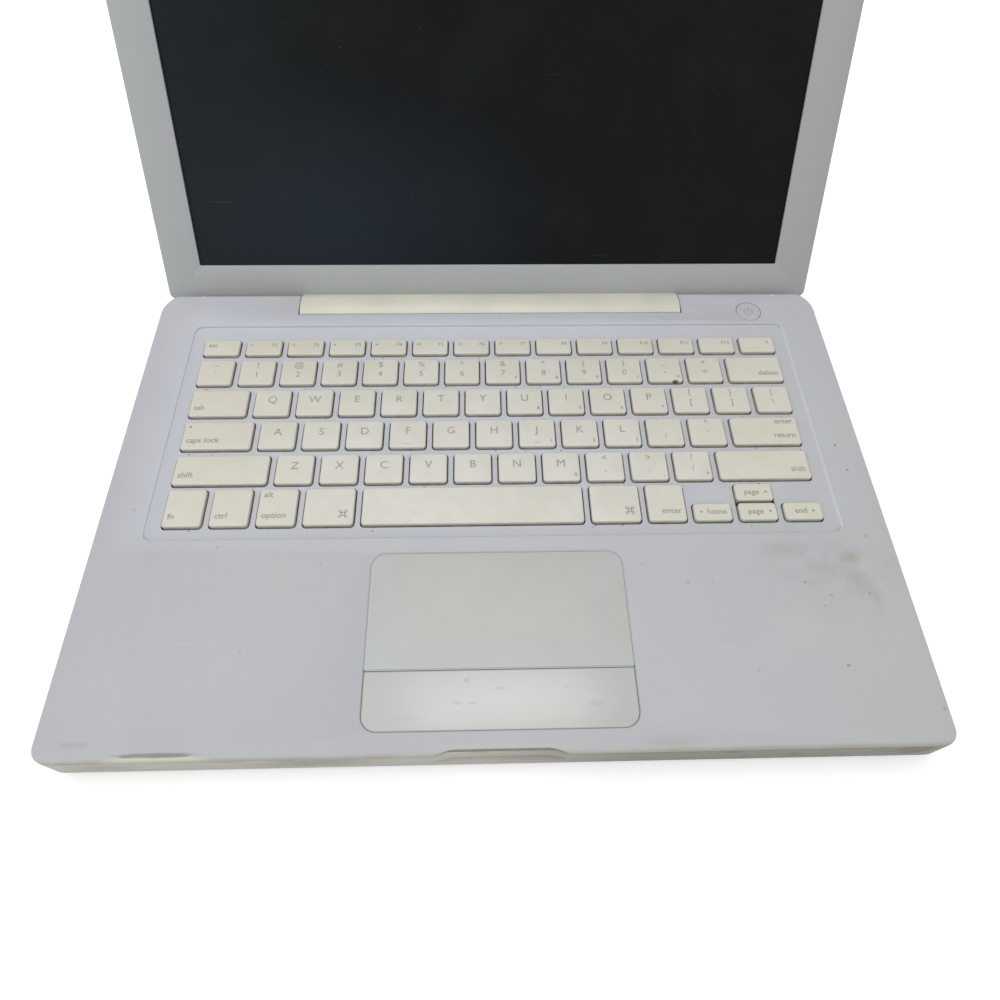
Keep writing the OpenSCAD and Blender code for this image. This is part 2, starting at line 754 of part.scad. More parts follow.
module audio_jacks() {
    for (d = [jack_a, jack_b]) color([0.85, 0.85, 0.84]) difference() {
        block(inner_x + 0.1, inner_x + 0.1 + jack_len, rear_y - d - jack_body / 2,
            rear_y - d + jack_body / 2, board_top, jack_z + 3.5);
        translate([inner_x - cut, rear_y - d, jack_z]) rotate([0, 90, 0])
            cylinder(h = jack_len, r = jack_r, $fn = 48);
    }
}

module sleep_light() {
    color([0.9, 0.9, 0.88]) translate([light_x, front_y + 0.1, 11]) rotate([-90, 0, 0]) union() {
        cylinder(h = wall, r = light_r, $fn = 24);
        translate([0, 0, wall - 0.05]) cylinder(h = 1.6, r = light_r + 1, $fn = 24);
    }
}

module base_magnets() {
    for (x = [-84, 84]) color([0.5, 0.5, 0.52])
        block(x - magnet_w / 2, x + magnet_w / 2, front_y + wall + 0.2, front_y + wall + 0.2 + magnet_d,
            rim_z - 4.2, rim_z - 0.1);
}

module rubber_feet() {
    for (x = [-foot_x, foot_x], y = [foot_front_y, foot_rear_y]) color([0.8, 0.79, 0.76])
        translate([x, y, 0]) cylinder(h = foot_h + foot_sink, r = foot_r, $fn = 48);
}

module case_screws() {
    for (p = screw_spots) color([0.55, 0.55, 0.56]) translate([p[0], p[1], foot_h + 0.05]) difference() {
        union() {
            cylinder(h = screw_head_h - 0.1, r = screw_head_r, $fn = 32);
            cylinder(h = screw_len - 1, r = screw_r, $fn = 24);
        }
        for (a = [0, 90]) rotate([0, 0, a]) block(-1.5, 1.5, -0.3, 0.3, -cut, 0.6);
    }
}

// Steel blocks inside the base that hold the hinge pins; the left pin is a tube for the lead
module hinge_brackets() {
    for (side = [-1, 1]) {
        x0 = notch_half + cheek_t;
        color([0.6, 0.6, 0.62]) difference() {
            union() {
                block(min(side * x0, side * (x0 + bracket_len)), max(side * x0, side * (x0 + bracket_len)),
                    axis_y - bracket_d + axis_from_back - wall - 0.2, rear_y - wall - 0.2, bracket_z, rim_z);
                along_x(min(side * knuckle_in, side * (x0 + 0.5)), max(side * knuckle_in, side * (x0 + 0.5)))
                    circle(r = pin_r, $fn = 48);
            }
            along_x(min(0, side * side_x), max(0, side * side_x)) circle(r = tube_r, $fn = 32);
        }
    }
}

// The base's length of the display lead, from the board to the end of the left pin
module display_lead() {
    x1 = -notch_half - cheek_t - bracket_len - 0.2;
    r = cable_r;
    lead_y = board_back - 2.5;
    color([0.1, 0.1, 0.1]) union() {
        block(x1 - 2 * r, x1, lead_y, axis_y + r, axis_z - r, axis_z + r);
        block(x1 - 2 * r, x1, lead_y, lead_y + 2 * r, board_top + 0.1, axis_z + r);
    }
}

// Everything on the lid is written closed, about the hinge axis, and opened here
module on_lid() {
    translate([0, axis_y, axis_z]) rotate([-open_angle, 0, 0]) children();
}

// A plate of the lid's outline, drawn in by some amount on every side
module lid_outline(inset, z0, z1) {
    slab(-side_x + ledge + inset, side_x - ledge - inset, lid_front_y + inset, lid_back_y - inset,
        z0, z1, max(lid_front_r - inset, 1), max(lid_back_r - inset, 0.4));
}

// The room that the hinge cover takes at the back of the lid
module lid_relief() {
    block(-cover_half - 0.4, cover_half + 0.4, cover_seam_y - 0.1, lid_back_y + cut + 2,
        bezel_z - cut, lid_top_z + cut);
}

module lid_cover() {
    low = bezel_z + bezel_t;
    color([0.86, 0.85, 0.82]) on_lid() difference() {
        union() {
            difference() {
                hull() {
                    lid_outline(0, low, lid_top_z - lid_edge_r);
                    for (a = [0:90 / arc_steps:80])
                        lid_outline(lid_edge_r * (1 - sin(a)), lid_top_z - lid_edge_r * (1 - cos(a)) - 0.01,
                            lid_top_z - lid_edge_r * (1 - cos(a)));
                }
                lid_outline(lid_wall, low - cut, lid_top_z - lid_wall);
            }
            for (x = [-cover_half - 6, cover_half + 6])
                block(x - 2, x + 2, -8, lid_back_y - 0.5, low, lid_top_z - lid_wall + ease);
        }
        lid_relief();
    }
}

module display_bezel() {
    back = -screen_from_axis;
    color([0.64, 0.65, 0.65]) on_lid() difference() {
        hull() {
            lid_outline(0.35, bezel_z, bezel_z + 0.01);
            lid_outline(0, bezel_z + 0.35, bezel_z + bezel_t);
        }
        slab(-screen_half, screen_half, back - screen_len, back,
            bezel_z - cut, bezel_z + bezel_t + cut, 0.4, 0.4);
        lid_relief();
    }
}

module lcd_panel() {
    low = bezel_z + bezel_t + 0.1;
    lap = 4;
    back = -screen_from_axis + lap;
    color([0.1, 0.12, 0.13]) on_lid() block(-screen_half - lap, screen_half + lap,
        back - screen_len - 2 * lap, back, low, low + panel_t);
}

// The hinge cover's section, drawn in by some amount
module cover_section(inset, top) {
    intersection() {
        polygon(arc(cover_arc_r - inset, cover_arc_y, cover_arc_z, 0, 360, 60));
        polygon(arc(cover_reach - inset, 0, 0, 0, 360, 60));
        rotate(-open_angle) polygon([[cover_face_y - inset, -30], [cover_face_y - inset, top - inset],
            [cover_seam_y + (inset > 0 ? -cut : 0), top - inset],
            [cover_seam_y + (inset > 0 ? -cut : 0), bezel_z], [-30, bezel_z], [-30, -30]]);
    }
}

// The hinge cover is written in the opened place, because its section is
module clutch_cover() {
    wide = cover_half;
    color([0.83, 0.81, 0.72]) difference() {
        along_x(-wide, wide) union() {
            cover_section(0, lid_top_z);
            rotate(-open_angle) polygon([[cover_seam_y, bezel_z - 1], [cover_face_y - 3.2, bezel_z - 1],
                [cover_face_y - 3.2, bezel_z + 4], [cover_face_y - 5, lid_top_z - 0.2],
                [cover_seam_y, lid_top_z - 0.2]]);
        }
        along_x(-wide + cover_t, wide - cover_t) {
            cover_section(cover_t, lid_top_z - 1);
            rotate(-open_angle) polygon([[cover_seam_y - cut, bezel_z + 0.3], [0.3, bezel_z + 0.3],
                [0.3, bezel_z + 3.6], [-0.9, lid_top_z - 1.4], [cover_seam_y - cut, lid_top_z - 1.4]]);
            rotate(-open_angle) polygon([[-1.6, 0], [2.4, 0], [0.3, bezel_z + 0.4], [-1.6, bezel_z + 0.4]]);
        }
        for (side = [-1, 1]) along_x(side * wide - 2 * cover_t, side * wide + 2 * cover_t)
            circle(r = pin_r + 0.3, $fn = 32);
    }
}

// The turning halves of the hinges: a knuckle round each pin and a foot screwed in the lid
module hinge_arms() {
    foot_z = bezel_z + bezel_t + 1;
    for (side = [-1, 1]) {
        x0 = min(side * (knuckle_in + 1), side * knuckle_out);
        x1 = max(side * (knuckle_in + 1), side * knuckle_out);
        color([0.6, 0.6, 0.62]) on_lid() difference() {
            union() {
                translate([x0, 0, 0]) rotate([0, 90, 0]) cylinder(h = x1 - x0, r = knuckle_r, $fn = 48);
                block(x0, x1, -1.2, 0.1, 0, foot_z + 1.2);
                block(x0, x1, -11.5, 0.1, foot_z, foot_z + 1.2);
            }
            translate([x0 - cut, 0, 0]) rotate([0, 90, 0])
                cylinder(h = x1 - x0 + 2 * cut, r = pin_r + pin_clear, $fn = 48);
        }
    }
}

module inverter_board() {
    z = lid_top_z - lid_wall - 1.4;
    color([0.1, 0.3, 0.2]) on_lid() union() {
        block(-60, 60, -screen_from_axis + 4.6, -5, z, z + 1.2);
        block(-40, -10, -screen_from_axis + 5.4, -6, z - 1.6, z + 0.2);
        block(20, 34, -screen_from_axis + 5.4, -6, z - 1.4, z + 0.2);
    }
}

module lid_magnets() {
    for (x = [-84, 84]) color([0.5, 0.5, 0.52]) on_lid()
        block(x - magnet_w / 2, x + magnet_w / 2, lid_front_y + lid_wall + 0.3,
            lid_front_y + lid_wall + 0.3 + magnet_d, bezel_z + bezel_t + 0.1, bezel_z + bezel_t + 4);
}

module bezel_bumpers() {
    for (x = [-side_x + 12, -52, 52, side_x - 12]) color([0.7, 0.7, 0.7]) on_lid()
        translate([x, lid_front_y + 4.5, bezel_z - lid_gap + 0.1])
            cylinder(h = lid_gap - 0.1, r = 1.5, $fn = 32);
}

// The lid's length of the display lead: it lies in the hinge cover, then along the hinge axis
module display_cable() {
    x_end = -notch_half - cheek_t - bracket_len;
    x_turn = -60;
    z = bezel_z + 3;
    color([0.1, 0.1, 0.1]) on_lid() union() {
        translate([x_end, 0, 0]) rotate([0, 90, 0]) cylinder(h = x_turn - x_end, r = cable_r, $fn = 32);
        block(x_turn - cable_r, x_turn + cable_r, -1, 0.2, -cable_r, z);
        block(x_turn - cable_r, x_turn + cable_r, -screen_from_axis + 4.1, 0.2, z - 1.4, z);
    }
}

// Puts a base piece about the middle of the whole model
module placed() {
    translate([0, -middle_y, 0]) children();
}

placed() bottom_case();
placed() top_case();
placed() keyboard_plate();
placed() dome_sheet();
placed() trackpad();
placed() trackpad_bracket();
placed() trackpad_button();
placed() power_button();
placed() battery();
placed() battery_lock();
placed() logic_board();
placed() memory_modules();
placed() heatsink();
placed() fan_housing();
placed() fan_rotor();
placed() optical_drive();
placed() slot_felt();
placed() hard_drive();
placed() wireless_card();
placed() speakers();
placed() power_inlet();
placed() network_port();
placed() serial_port();
placed() video_port();
placed() usb_ports();
placed() audio_jacks();
placed() sleep_light();
placed() base_magnets();
placed() rubber_feet();
placed() case_screws();
placed() hinge_brackets();
placed() display_lead();
placed() lid_cover();
placed() display_bezel();
placed() lcd_panel();
placed() clutch_cover();
placed() hinge_arms();
placed() inverter_board();
placed() lid_magnets();
placed() bezel_bumpers();
placed() display_cable();
placed() keys(fn_set);  // function_keys
placed() keys(number_set);  // number_keys
placed() keys(delete_set);  // delete_key
placed() keys(tab_set);  // tab_key
placed() keys(top_letter_set);  // top_letter_keys
placed() keys(caps_set);  // caps_lock_key
placed() keys(home_letter_set);  // home_letter_keys
placed() keys(return_set);  // return_key
placed() keys(left_shift_set);  // left_shift_key
placed() keys(low_letter_set);  // bottom_letter_keys
placed() keys(right_shift_set);  // right_shift_key
placed() keys(fn_key_set);  // fn_key
placed() keys(control_set);  // control_key
placed() keys(option_set);  // option_key
placed() keys(left_command_set);  // left_command_key
placed() keys(space_set);  // space_bar
placed() keys(right_command_set);  // right_command_key
placed() keys(enter_set);  // enter_key
placed() keys(arrow_set);  // arrow_keys
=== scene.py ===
"""A worn 13 inch plastic notebook computer: yellowed keys, a cracked front rim and grubby palm rests."""

import json
import math
import random

import bmesh
import bpy
from mathutils import Matrix, Vector


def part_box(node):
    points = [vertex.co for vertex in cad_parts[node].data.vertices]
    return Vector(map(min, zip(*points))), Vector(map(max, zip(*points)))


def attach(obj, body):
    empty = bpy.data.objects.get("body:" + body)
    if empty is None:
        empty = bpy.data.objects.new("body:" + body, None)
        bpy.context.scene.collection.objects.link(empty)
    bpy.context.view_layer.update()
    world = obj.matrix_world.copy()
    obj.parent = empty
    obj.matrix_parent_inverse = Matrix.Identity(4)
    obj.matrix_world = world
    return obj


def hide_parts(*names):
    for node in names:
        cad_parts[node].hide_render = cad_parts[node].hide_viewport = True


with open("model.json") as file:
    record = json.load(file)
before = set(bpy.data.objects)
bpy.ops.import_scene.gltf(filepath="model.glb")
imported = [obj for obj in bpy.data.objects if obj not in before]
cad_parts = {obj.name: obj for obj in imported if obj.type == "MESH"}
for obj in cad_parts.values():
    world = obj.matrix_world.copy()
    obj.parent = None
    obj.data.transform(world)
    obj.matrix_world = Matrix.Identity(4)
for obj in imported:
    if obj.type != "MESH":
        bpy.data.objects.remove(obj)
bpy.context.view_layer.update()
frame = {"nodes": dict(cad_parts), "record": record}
scene = bpy.context.scene
MM = 0.001
HAIR = 0.04 * MM  # height of printed marks above their surface
SAME_POINT = 1e-6  # points nearer than this, in metres, are one point
chance = random.Random(7)


def srgb(r, g, b):
    """A colour written as 0 to 255 values, in the linear values that shaders use."""
    def linear(v):
        v /= 255
        return v / 12.92 if v <= 0.04045 else ((v + 0.055) / 1.055) ** 2.4
    return (linear(r), linear(g), linear(b), 1.0)


# ---------------------------------------------------------------- camera, light and floor

camera = bpy.data.objects.new("camera", bpy.data.cameras.new("camera"))
scene.collection.objects.link(camera)
bpy.context.scene.camera = camera
camera.data.sensor_width = 36
camera.data.lens = 26.34
camera.data.clip_start = 0.01
# The camera's own axes and its place, in the part's frame
right = Vector((0.99958549, -0.02352593, 0.0165944))
up = Vector((0.01153689, 0.85542476, 0.51779859))
back = Vector((-0.02637696, -0.51739251, 0.8553416))
place = Vector((-0.0063, -0.22613, 0.2825))
camera.matrix_world = Matrix([(right[i], up[i], back[i], place[i]) for i in range(3)] + [(0, 0, 0, 1)])

scene.view_settings.view_transform = "Standard"


def seen_apart(tree, hidden, seen):
    """Joins two shaders: one lights the scene, the other is what is seen directly."""
    mix = tree.nodes.new("ShaderNodeMixShader")
    path = tree.nodes.new("ShaderNodeLightPath")
    tree.links.new(path.outputs["Is Camera Ray"], mix.inputs[0])
    tree.links.new(hidden.outputs[0], mix.inputs[1])
    tree.links.new(seen.outputs[0], mix.inputs[2])
    return mix


world = bpy.data.worlds.new("studio")
scene.world = world
world.use_nodes = True
sky = world.node_tree
sky_light = sky.nodes["Background"]
sky_light.inputs["Color"].default_value = (0.97, 0.985, 1.0, 1)
sky_light.inputs["Strength"].default_value = 0.665
sky_seen = sky.nodes.new("ShaderNodeBackground")
sky_seen.inputs["Color"].default_value = (1, 1, 1, 1)
sky_seen.inputs["Strength"].default_value = 1.0
sky_mix = seen_apart(sky, sky_light, sky_seen)
sky.links.new(sky_mix.outputs[0], sky.nodes["World Output"].inputs["Surface"])


def lamp(name, where, aim, size, power):
    data = bpy.data.lights.new(name, "AREA")
    data.shape = "SQUARE"
    data.size = size
    data.energy = power
    o = bpy.data.objects.new(name, data)
    scene.collection.objects.link(o)
    o.location = where
    o.rotation_mode = "QUATERNION"
    o.rotation_quaternion = (Vector(aim) - Vector(where)).to_track_quat("-Z", "Y")


lamp("soft_box", (-0.25, 0.25, 1.5), (0, 0, 0), 1.4, 9.1)
lamp("fill", (-0.9, -0.7, 1.0), (0, 0, 0.05), 1.2, 1.8)

bpy.ops.mesh.primitive_plane_add(size=14, location=(0, 0, -0.0002))
floor = bpy.context.object
floor.name = "floor"
pale = bpy.data.materials.new("pale_floor")
pale.use_nodes = True
pale_tree = pale.node_tree
pale_bsdf = pale_tree.nodes["Principled BSDF"]
pale_bsdf.inputs["Base Color"].default_value = (0.82, 0.82, 0.82, 1)
pale_bsdf.inputs["Roughness"].default_value = 0.9
pale_bsdf.inputs["Specular IOR Level"].default_value = 0.1
pale_glow = pale_tree.nodes.new("ShaderNodeEmission")
pale_glow.inputs["Strength"].default_value = 0.42
pale_none = pale_tree.nodes.new("ShaderNodeEmission")
pale_none.inputs["Strength"].default_value = 0
pale_pick = seen_apart(pale_tree, pale_none, pale_glow)
pale_sum = pale_tree.nodes.new("ShaderNodeAddShader")
pale_tree.links.new(pale_bsdf.outputs[0], pale_sum.inputs[0])
pale_tree.links.new(pale_pick.outputs[0], pale_sum.inputs[1])
pale_tree.links.new(pale_sum.outputs[0], pale_tree.nodes["Material Output"].inputs["Surface"])
floor.data.materials.append(pale)


# ---------------------------------------------------------------- materials

SCRATCH_DEPTH = 0.01 * MM


class Paint:
    """A procedural material. Masks and colours come from the piece's own coordinates, in metres."""

    def __init__(self, name, colour, rough, **shader):
        self.mat = bpy.data.materials.new(name)
        self.mat.use_nodes = True
        self.tree = self.mat.node_tree
        self.bsdf = self.tree.nodes["Principled BSDF"]
        self.bsdf.inputs["Roughness"].default_value = rough
        for key, value in shader.items():
            self.bsdf.inputs[key.replace("_", " ")].default_value = value
        self.place = self.tree.nodes.new("ShaderNodeTexCoord").outputs["Object"]
        self.colour = colour
        self.rough = rough
        self.height = None
        self.axes = None

    def put(self, socket, value):
        if isinstance(value, bpy.types.NodeSocket):
            self.tree.links.new(value, socket)
        else:
            socket.default_value = value

    def calc(self, op, a, b=None):
        n = self.tree.nodes.new("ShaderNodeMath")
        n.operation = op
        self.put(n.inputs[0], a)
        if b is not None:
            self.put(n.inputs[1], b)
        return n.outputs[0]

    def axis(self, i):
        if self.axes is None:
            n = self.tree.nodes.new("ShaderNodeSeparateXYZ")
            self.put(n.inputs[0], self.place)
            self.axes = n.outputs
        return self.axes[i]

    def limits(self, value, lo, hi, to_lo=0.0, to_hi=1.0):
        n = self.tree.nodes.new("ShaderNodeMapRange")
        n.clamp = True
        self.put(n.inputs["Value"], value)
        for key, v in (("From Min", lo), ("From Max", hi), ("To Min", to_lo), ("To Max", to_hi)):
            n.inputs[key].default_value = v
        return n.outputs[0]

    def moved(self, shift, scale, turn):
        n = self.tree.nodes.new("ShaderNodeMapping")
        self.put(n.inputs["Vector"], self.place)
        n.inputs["Location"].default_value = shift
        n.inputs["Scale"].default_value = scale
        n.inputs["Rotation"].default_value = (0, 0, turn)
        return n.outputs[0]

    def noise(self, scale, detail=2.0, stretch=(1, 1, 1), shift=(0, 0, 0), turn=0.0):
        n = self.tree.nodes.new("ShaderNodeTexNoise")
        self.put(n.inputs["Vector"], self.moved(shift, stretch, turn))
        n.inputs["Scale"].default_value = scale
        n.inputs["Detail"].default_value = detail
        return n.outputs[0]

    def over(self, mask, colour):
        """Lays a colour over the present one where the mask is 1."""
        n = self.tree.nodes.new("ShaderNodeMix")
        n.data_type = "RGBA"
        self.put(n.inputs[0], mask)
        self.put(n.inputs[6], self.colour)
        self.put(n.inputs[7], colour)
        self.colour = n.outputs[2]

    def gloss(self, mask, rough):
        """Changes the roughness where the mask is 1."""
        n = self.tree.nodes.new("ShaderNodeMix")
        n.data_type = "FLOAT"
        self.put(n.inputs[0], mask)
        self.put(n.inputs[2], self.rough)
        self.put(n.inputs[3], rough)
        self.rough = n.outputs[0]

    def raise_by(self, value, metres):
        step = self.calc("MULTIPLY", value, metres)
        self.height = step if self.height is None else self.calc("ADD", self.height, step)

    def spot(self, centre, radii, soft, ragged=0.0, scale=150):
        """1 inside an ellipse about a point, 0 outside, with a soft and ragged edge. The centre and the
        radii are in millimetres."""
        away = self.tree.nodes.new("ShaderNodeVectorMath")
        away.operation = "SUBTRACT"
        self.put(away.inputs[0], self.place)
        away.inputs[1].default_value = [c * MM for c in centre]
        sized = self.tree.nodes.new("ShaderNodeVectorMath")
        sized.operation = "MULTIPLY"
        self.put(sized.inputs[0], away.outputs[0])
        sized.inputs[1].default_value = [1 / (r * MM) for r in radii]
        far = self.tree.nodes.new("ShaderNodeVectorMath")
        far.operation = "LENGTH"
        self.put(far.inputs[0], sized.outputs[0])
        value = far.outputs["Value"]
        if ragged:
            rough = self.calc("SUBTRACT", self.noise(scale, 4), 0.5)
            value = self.calc("ADD", value, self.calc("MULTIPLY", rough, ragged * 2))
        return self.limits(value, 1 + soft, 1 - soft)

    def times(self, *values):
        out = values[0]
        for v in values[1:]:
            out = self.calc("MULTIPLY", out, v)
        return out

    def mottled(self, other, amount, scale, shift=(0, 0, 0)):
        """Slow change towards another shade over the surface."""
        mask = self.limits(self.noise(scale, 3, shift=shift), 0.35, 0.65)
        self.over(self.calc("MULTIPLY", mask, amount), other)

    def specks(self, colour, scale, cut, amount, shift=(0, 0, 0)):
        """Small separate specks of dirt."""
        mask = self.limits(self.noise(scale, 1, shift=shift), cut, cut + 0.03)
        gate = self.limits(self.noise(25, 2, shift=(3, 1, 2)), 0.45, 0.6)
        self.over(self.times(mask, gate, amount), colour)

    def scratches(self, colour, amount, turn, along=30, across=1400, cut=0.71):
        """Short hairline scratches at one slant."""
        line = self.noise(1, 2, stretch=(along, across, across * 0.3), turn=turn)
        gate = self.limits(self.noise(18, 2, shift=(1, 5, 2)), 0.5, 0.62)
        mask = self.times(self.limits(line, cut, cut + 0.04), gate, amount)
        self.over(mask, colour)
        self.raise_by(mask, -SCRATCH_DEPTH)

    def grain(self, scale, metres):
        self.raise_by(self.noise(scale), metres)

    def done(self):
        self.put(self.bsdf.inputs["Base Color"], self.colour)
        self.put(self.bsdf.inputs["Roughness"], self.rough)
        if self.height is not None:
            bump = self.tree.nodes.new("ShaderNodeBump")
            bump.inputs["Strength"].default_value = 1.0
            bump.inputs["Distance"].default_value = 1.0
            self.put(bump.inputs["Height"], self.height)
            self.put(self.bsdf.inputs["Normal"], bump.outputs[0])
        return self.mat


WARM_DIRT = srgb(150, 139, 116)
GREY_DIRT = srgb(120, 118, 112)

# The top of the case and its front, in millimetres, for placing marks
top_lo, top_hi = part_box("top_case")
rim_top = top_hi.z / MM
front = top_lo.y / MM
WELL_MARGIN = 6.5  # from the outer keys to the side of the keyboard well, mm
WELL_DEPTH = 0.9  # mm
DECK = 20  # height of the keys, the pad and its button, mm, for placing marks on them


def case_paint():
    p = Paint("worn_grey_plastic", srgb(186, 187, 190), 0.46, Specular_IOR_Level=0.35)
    p.over(p.limits(p.axis(1), -0.06, 0.05, 0, 0.8), srgb(201, 203, 211))
    p.over(p.limits(p.axis(0), 0.04, 0.16, 0, 0.6), srgb(181, 182, 184))
    p.over(p.limits(p.axis(0), -0.12, -0.16, 0, 0.5), srgb(184, 184, 187))
    p.mottled(srgb(190, 190, 189), 0.45, 9)
    p.mottled(srgb(181, 182, 189), 0.35, 26, shift=(2, 7, 1))
    # Round the keyboard the plastic is a little lighter and bluer, fading towards the right
    side = p.calc("ABSOLUTE", p.axis(0))
    keyboard_surround = p.times(p.limits(side, 0.158, 0.138), p.limits(p.axis(1), -0.092, -0.078),
                   p.limits(p.axis(1), 0.046, 0.034), p.limits(p.axis(0), 0.15, 0.02, 0.1, 1))
    p.over(p.calc("MULTIPLY", keyboard_surround, 0.7), srgb(200, 202, 210))
    # Where wrists rubbed the palm rests, the surface is smoother and a little grubby
    wrist_l = p.spot((-88, -120, rim_top), (52, 38, 9), 0.6)
    wrist_r = p.spot((96, -122, rim_top), (50, 38, 9), 0.6)
    p.over(p.times(wrist_l, p.limits(p.noise(40, 4), 0.4, 0.7), 0.2), srgb(190, 188, 182))
    p.gloss(p.calc("MULTIPLY", p.calc("MAXIMUM", wrist_l, wrist_r), 0.7), 0.3)
    # Brown grime on the right palm rest
    grime = p.times(p.spot((134, -100, rim_top), (22, 17, 9), 0.6, 0.8, 90),
                    p.limits(p.noise(220, 4), 0.35, 0.7))
    p.over(p.calc("MULTIPLY", grime, 0.32), srgb(166, 161, 148))
    for x, y, rx, ry, a in ((142.2, -96, 3.4, 2.4, 0.42), (116.6, -92, 8, 2.6, 0.2),
                            (132.6, -101.4, 5, 4, 0.16), (142.5, -106.8, 4, 5, 0.2),
                            (148, -112, 2.2, 6, 0.14), (60, -167, 9, 2, 0.2)):
        p.over(p.times(p.spot((x, y, rim_top), (rx, ry, 6), 0.7, 0.5, 400), a), srgb(150, 141, 119))
    # Single dark specks
    for x, y, r, a in ((121.6, -106.9, 0.5, 0.6), (130.9, -112.6, 0.45, 0.6), (146, -112.2, 0.45, 0.5),
                       (126.9, -117.1, 0.4, 0.5), (129.8, -141, 0.6, 0.6), (75.1, -106.2, 0.6, 0.35),
                       (84.9, -106.2, 0.5, 0.3), (151.8, -86.7, 0.5, 0.5), (153, -54, 0.6, 0.6),
                       (151, -41, 0.6, 0.7), (160.5, -157.7, 0.7, 0.35), (-112, -88, 0.5, 0.4),
                       (-96, -132, 0.4, 0.4), (-149, -70, 0.5, 0.4), (96, -142, 0.4, 0.3),
                       (58, -98, 0.4, 0.35), (-70, -96, 0.4, 0.35)):
        p.over(p.times(p.spot((x, y, rim_top), (r, r, 6), 0.45, 0.4, 1500), a), GREY_DIRT)
    # Two scuffs at the front left corner
    for x, y in ((-145.7, -164.2), (-150.8, -164.4)):
        p.over(p.times(p.spot((x, y, rim_top), (2.6, 1.1, 6), 0.6, 0.5, 500), 0.3), srgb(158, 156, 148))
    # The front rim is warmer and carries some grime
    rim = p.limits(p.axis(1), (front + 1.6) * MM, (front + 0.7) * MM)
    p.over(p.calc("MULTIPLY", rim, 0.75), srgb(189, 188, 178))
    p.over(p.times(rim, p.limits(p.noise(60, 3), 0.45, 0.7), 0.4), srgb(165, 160, 146))
    p.over(p.times(rim, p.limits(p.axis(0), 0.02, 0.08), 0.4), srgb(158, 154, 143))
    # Painted highlight on the pale lip in front of the crack, and painted shade on the broken edge behind it
    lip_highlight = p.spot((-119, front + 0.5, rim_top - 1), (17, 1.3, 3), 0.25)
    p.over(p.calc("MULTIPLY", lip_highlight, 0.9), srgb(208, 206, 190))
    crack_shade = p.spot((-119.5, front + 2.15, rim_top - 0.3), (12.7, 0.72, 2), 0.3, 0.3, 700)
    p.over(p.calc("MULTIPLY", crack_shade, 0.85), srgb(143, 141, 141))
    # A paler edge behind the thumb notch, and painted light on the sides of the keyboard well to lift their
    # shade
    notch = p.spot((0, front + 2.6, rim_top), (27, 1.3, 3), 0.3)
    p.over(p.calc("MULTIPLY", notch, 0.5), srgb(196, 195, 188))
    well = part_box("delete_key")[1].x + WELL_MARGIN * MM
    well_side_light = p.times(p.limits(p.axis(2), (rim_top - 0.02) * MM, (rim_top - 0.12) * MM),
                        p.limits(p.axis(1), -0.086, -0.084),
                        p.limits(side, well - 0.4 * MM, well - 0.1 * MM),
                        p.limits(side, well + 1.1 * MM, well + 0.8 * MM), 0.8)
    p.over(well_side_light, srgb(216, 218, 226))
    p.specks(GREY_DIRT, 1100, 0.755, 0.3)
    p.specks(srgb(150, 140, 120), 500, 0.77, 0.3, (9, 2, 4))
    p.scratches(srgb(205, 206, 208), 0.5, 0.5)
    p.scratches(srgb(168, 168, 168), 0.35, -0.9, 24, 1700, 0.72)
    p.gloss(p.calc("MULTIPLY", p.limits(p.noise(70, 4), 0.4, 0.7), 0.35), 0.58)
    p.grain(2800, 0.000006)
    return p.done()


def cream_paint(name, colour, yellow, dirt, low=None):
    """Glossy yellowed plastic. Where a lower edge is given, grime climbs up from it."""
    p = Paint(name, colour, 0.3, Specular_IOR_Level=0.45, Coat_Weight=0.12, Coat_Roughness=0.25)
    p.mottled(yellow, 0.6, 14)
    p.mottled(srgb(196, 193, 184), 0.35, 45, shift=(4, 2, 8))
    if low is not None:
        grime = p.times(p.limits(p.axis(2), low + 0.0035, low), p.limits(p.noise(30, 4), 0.3, 0.9),
                        dirt * 0.6)
        p.over(grime, WARM_DIRT)
    p.specks(WARM_DIRT, 800, 0.73, dirt)
    p.scratches(srgb(222, 219, 208), 0.45, 0.2, 22, 900, 0.69)
    p.scratches(srgb(150, 143, 128), 0.4, 1.2, 26, 1100, 0.71)
    p.gloss(p.calc("MULTIPLY", p.limits(p.noise(50, 4), 0.4, 0.7), 0.6), 0.5)
    p.grain(1500, 0.000003)
    return p


def base_paint():
    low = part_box("bottom_case")[0].z
    p = cream_paint("yellowed_lower_case", srgb(204, 201, 190), srgb(195, 189, 172), 0.6, low)
    # The front wall is a little darker all along, and painted shade makes it much darker from its middle to
    # the right
    wall = p.limits(p.axis(1), (front + 5) * MM, (front + 1) * MM)
    p.over(p.calc("MULTIPLY", wall, 0.35), srgb(176, 172, 160))
    p.over(p.times(wall, p.limits(p.axis(0), -0.01, 0.05), 0.9), srgb(135, 132, 121))
    # Brown marks on it, near the right corner and along the seam
    for x, z, rx, rz, a in ((147, 14.5, 5, 4, 1.0), (147, 14.5, 4, 3.5, 0.6), (151, 15.5, 3, 2.8, 0.9),
                            (139, 15, 7, 3, 0.4), (82, 17, 3, 1.6, 0.5), (-96.5, 17, 4, 1.4, 0.3),
                            (-74, 17, 5, 1.3, 0.3), (104, 12, 4, 3, 0.2), (-60, 16.4, 14, 1.6, 0.35),
                            (-66, 12, 18, 3, 0.4), (-140, 13, 9, 3, 0.2)):
        p.over(p.times(p.spot((x, front, z), (rx, 7, rz), 0.6, 0.6, 500), a), srgb(112, 100, 82))
    # Dirt in the seam under the top case, and a darker band along the lower edge
    seam_low, seam_top = 0.0172, 0.0181
    seam = p.times(p.limits(p.axis(2), seam_low, seam_top), p.limits(p.noise(120, 3), 0.42, 0.7), 0.45)
    p.over(seam, srgb(150, 142, 122))
    p.over(p.limits(p.axis(2), low + 0.0022, low + 0.0008, 0, 0.35), srgb(176, 171, 157))
    return p.done()


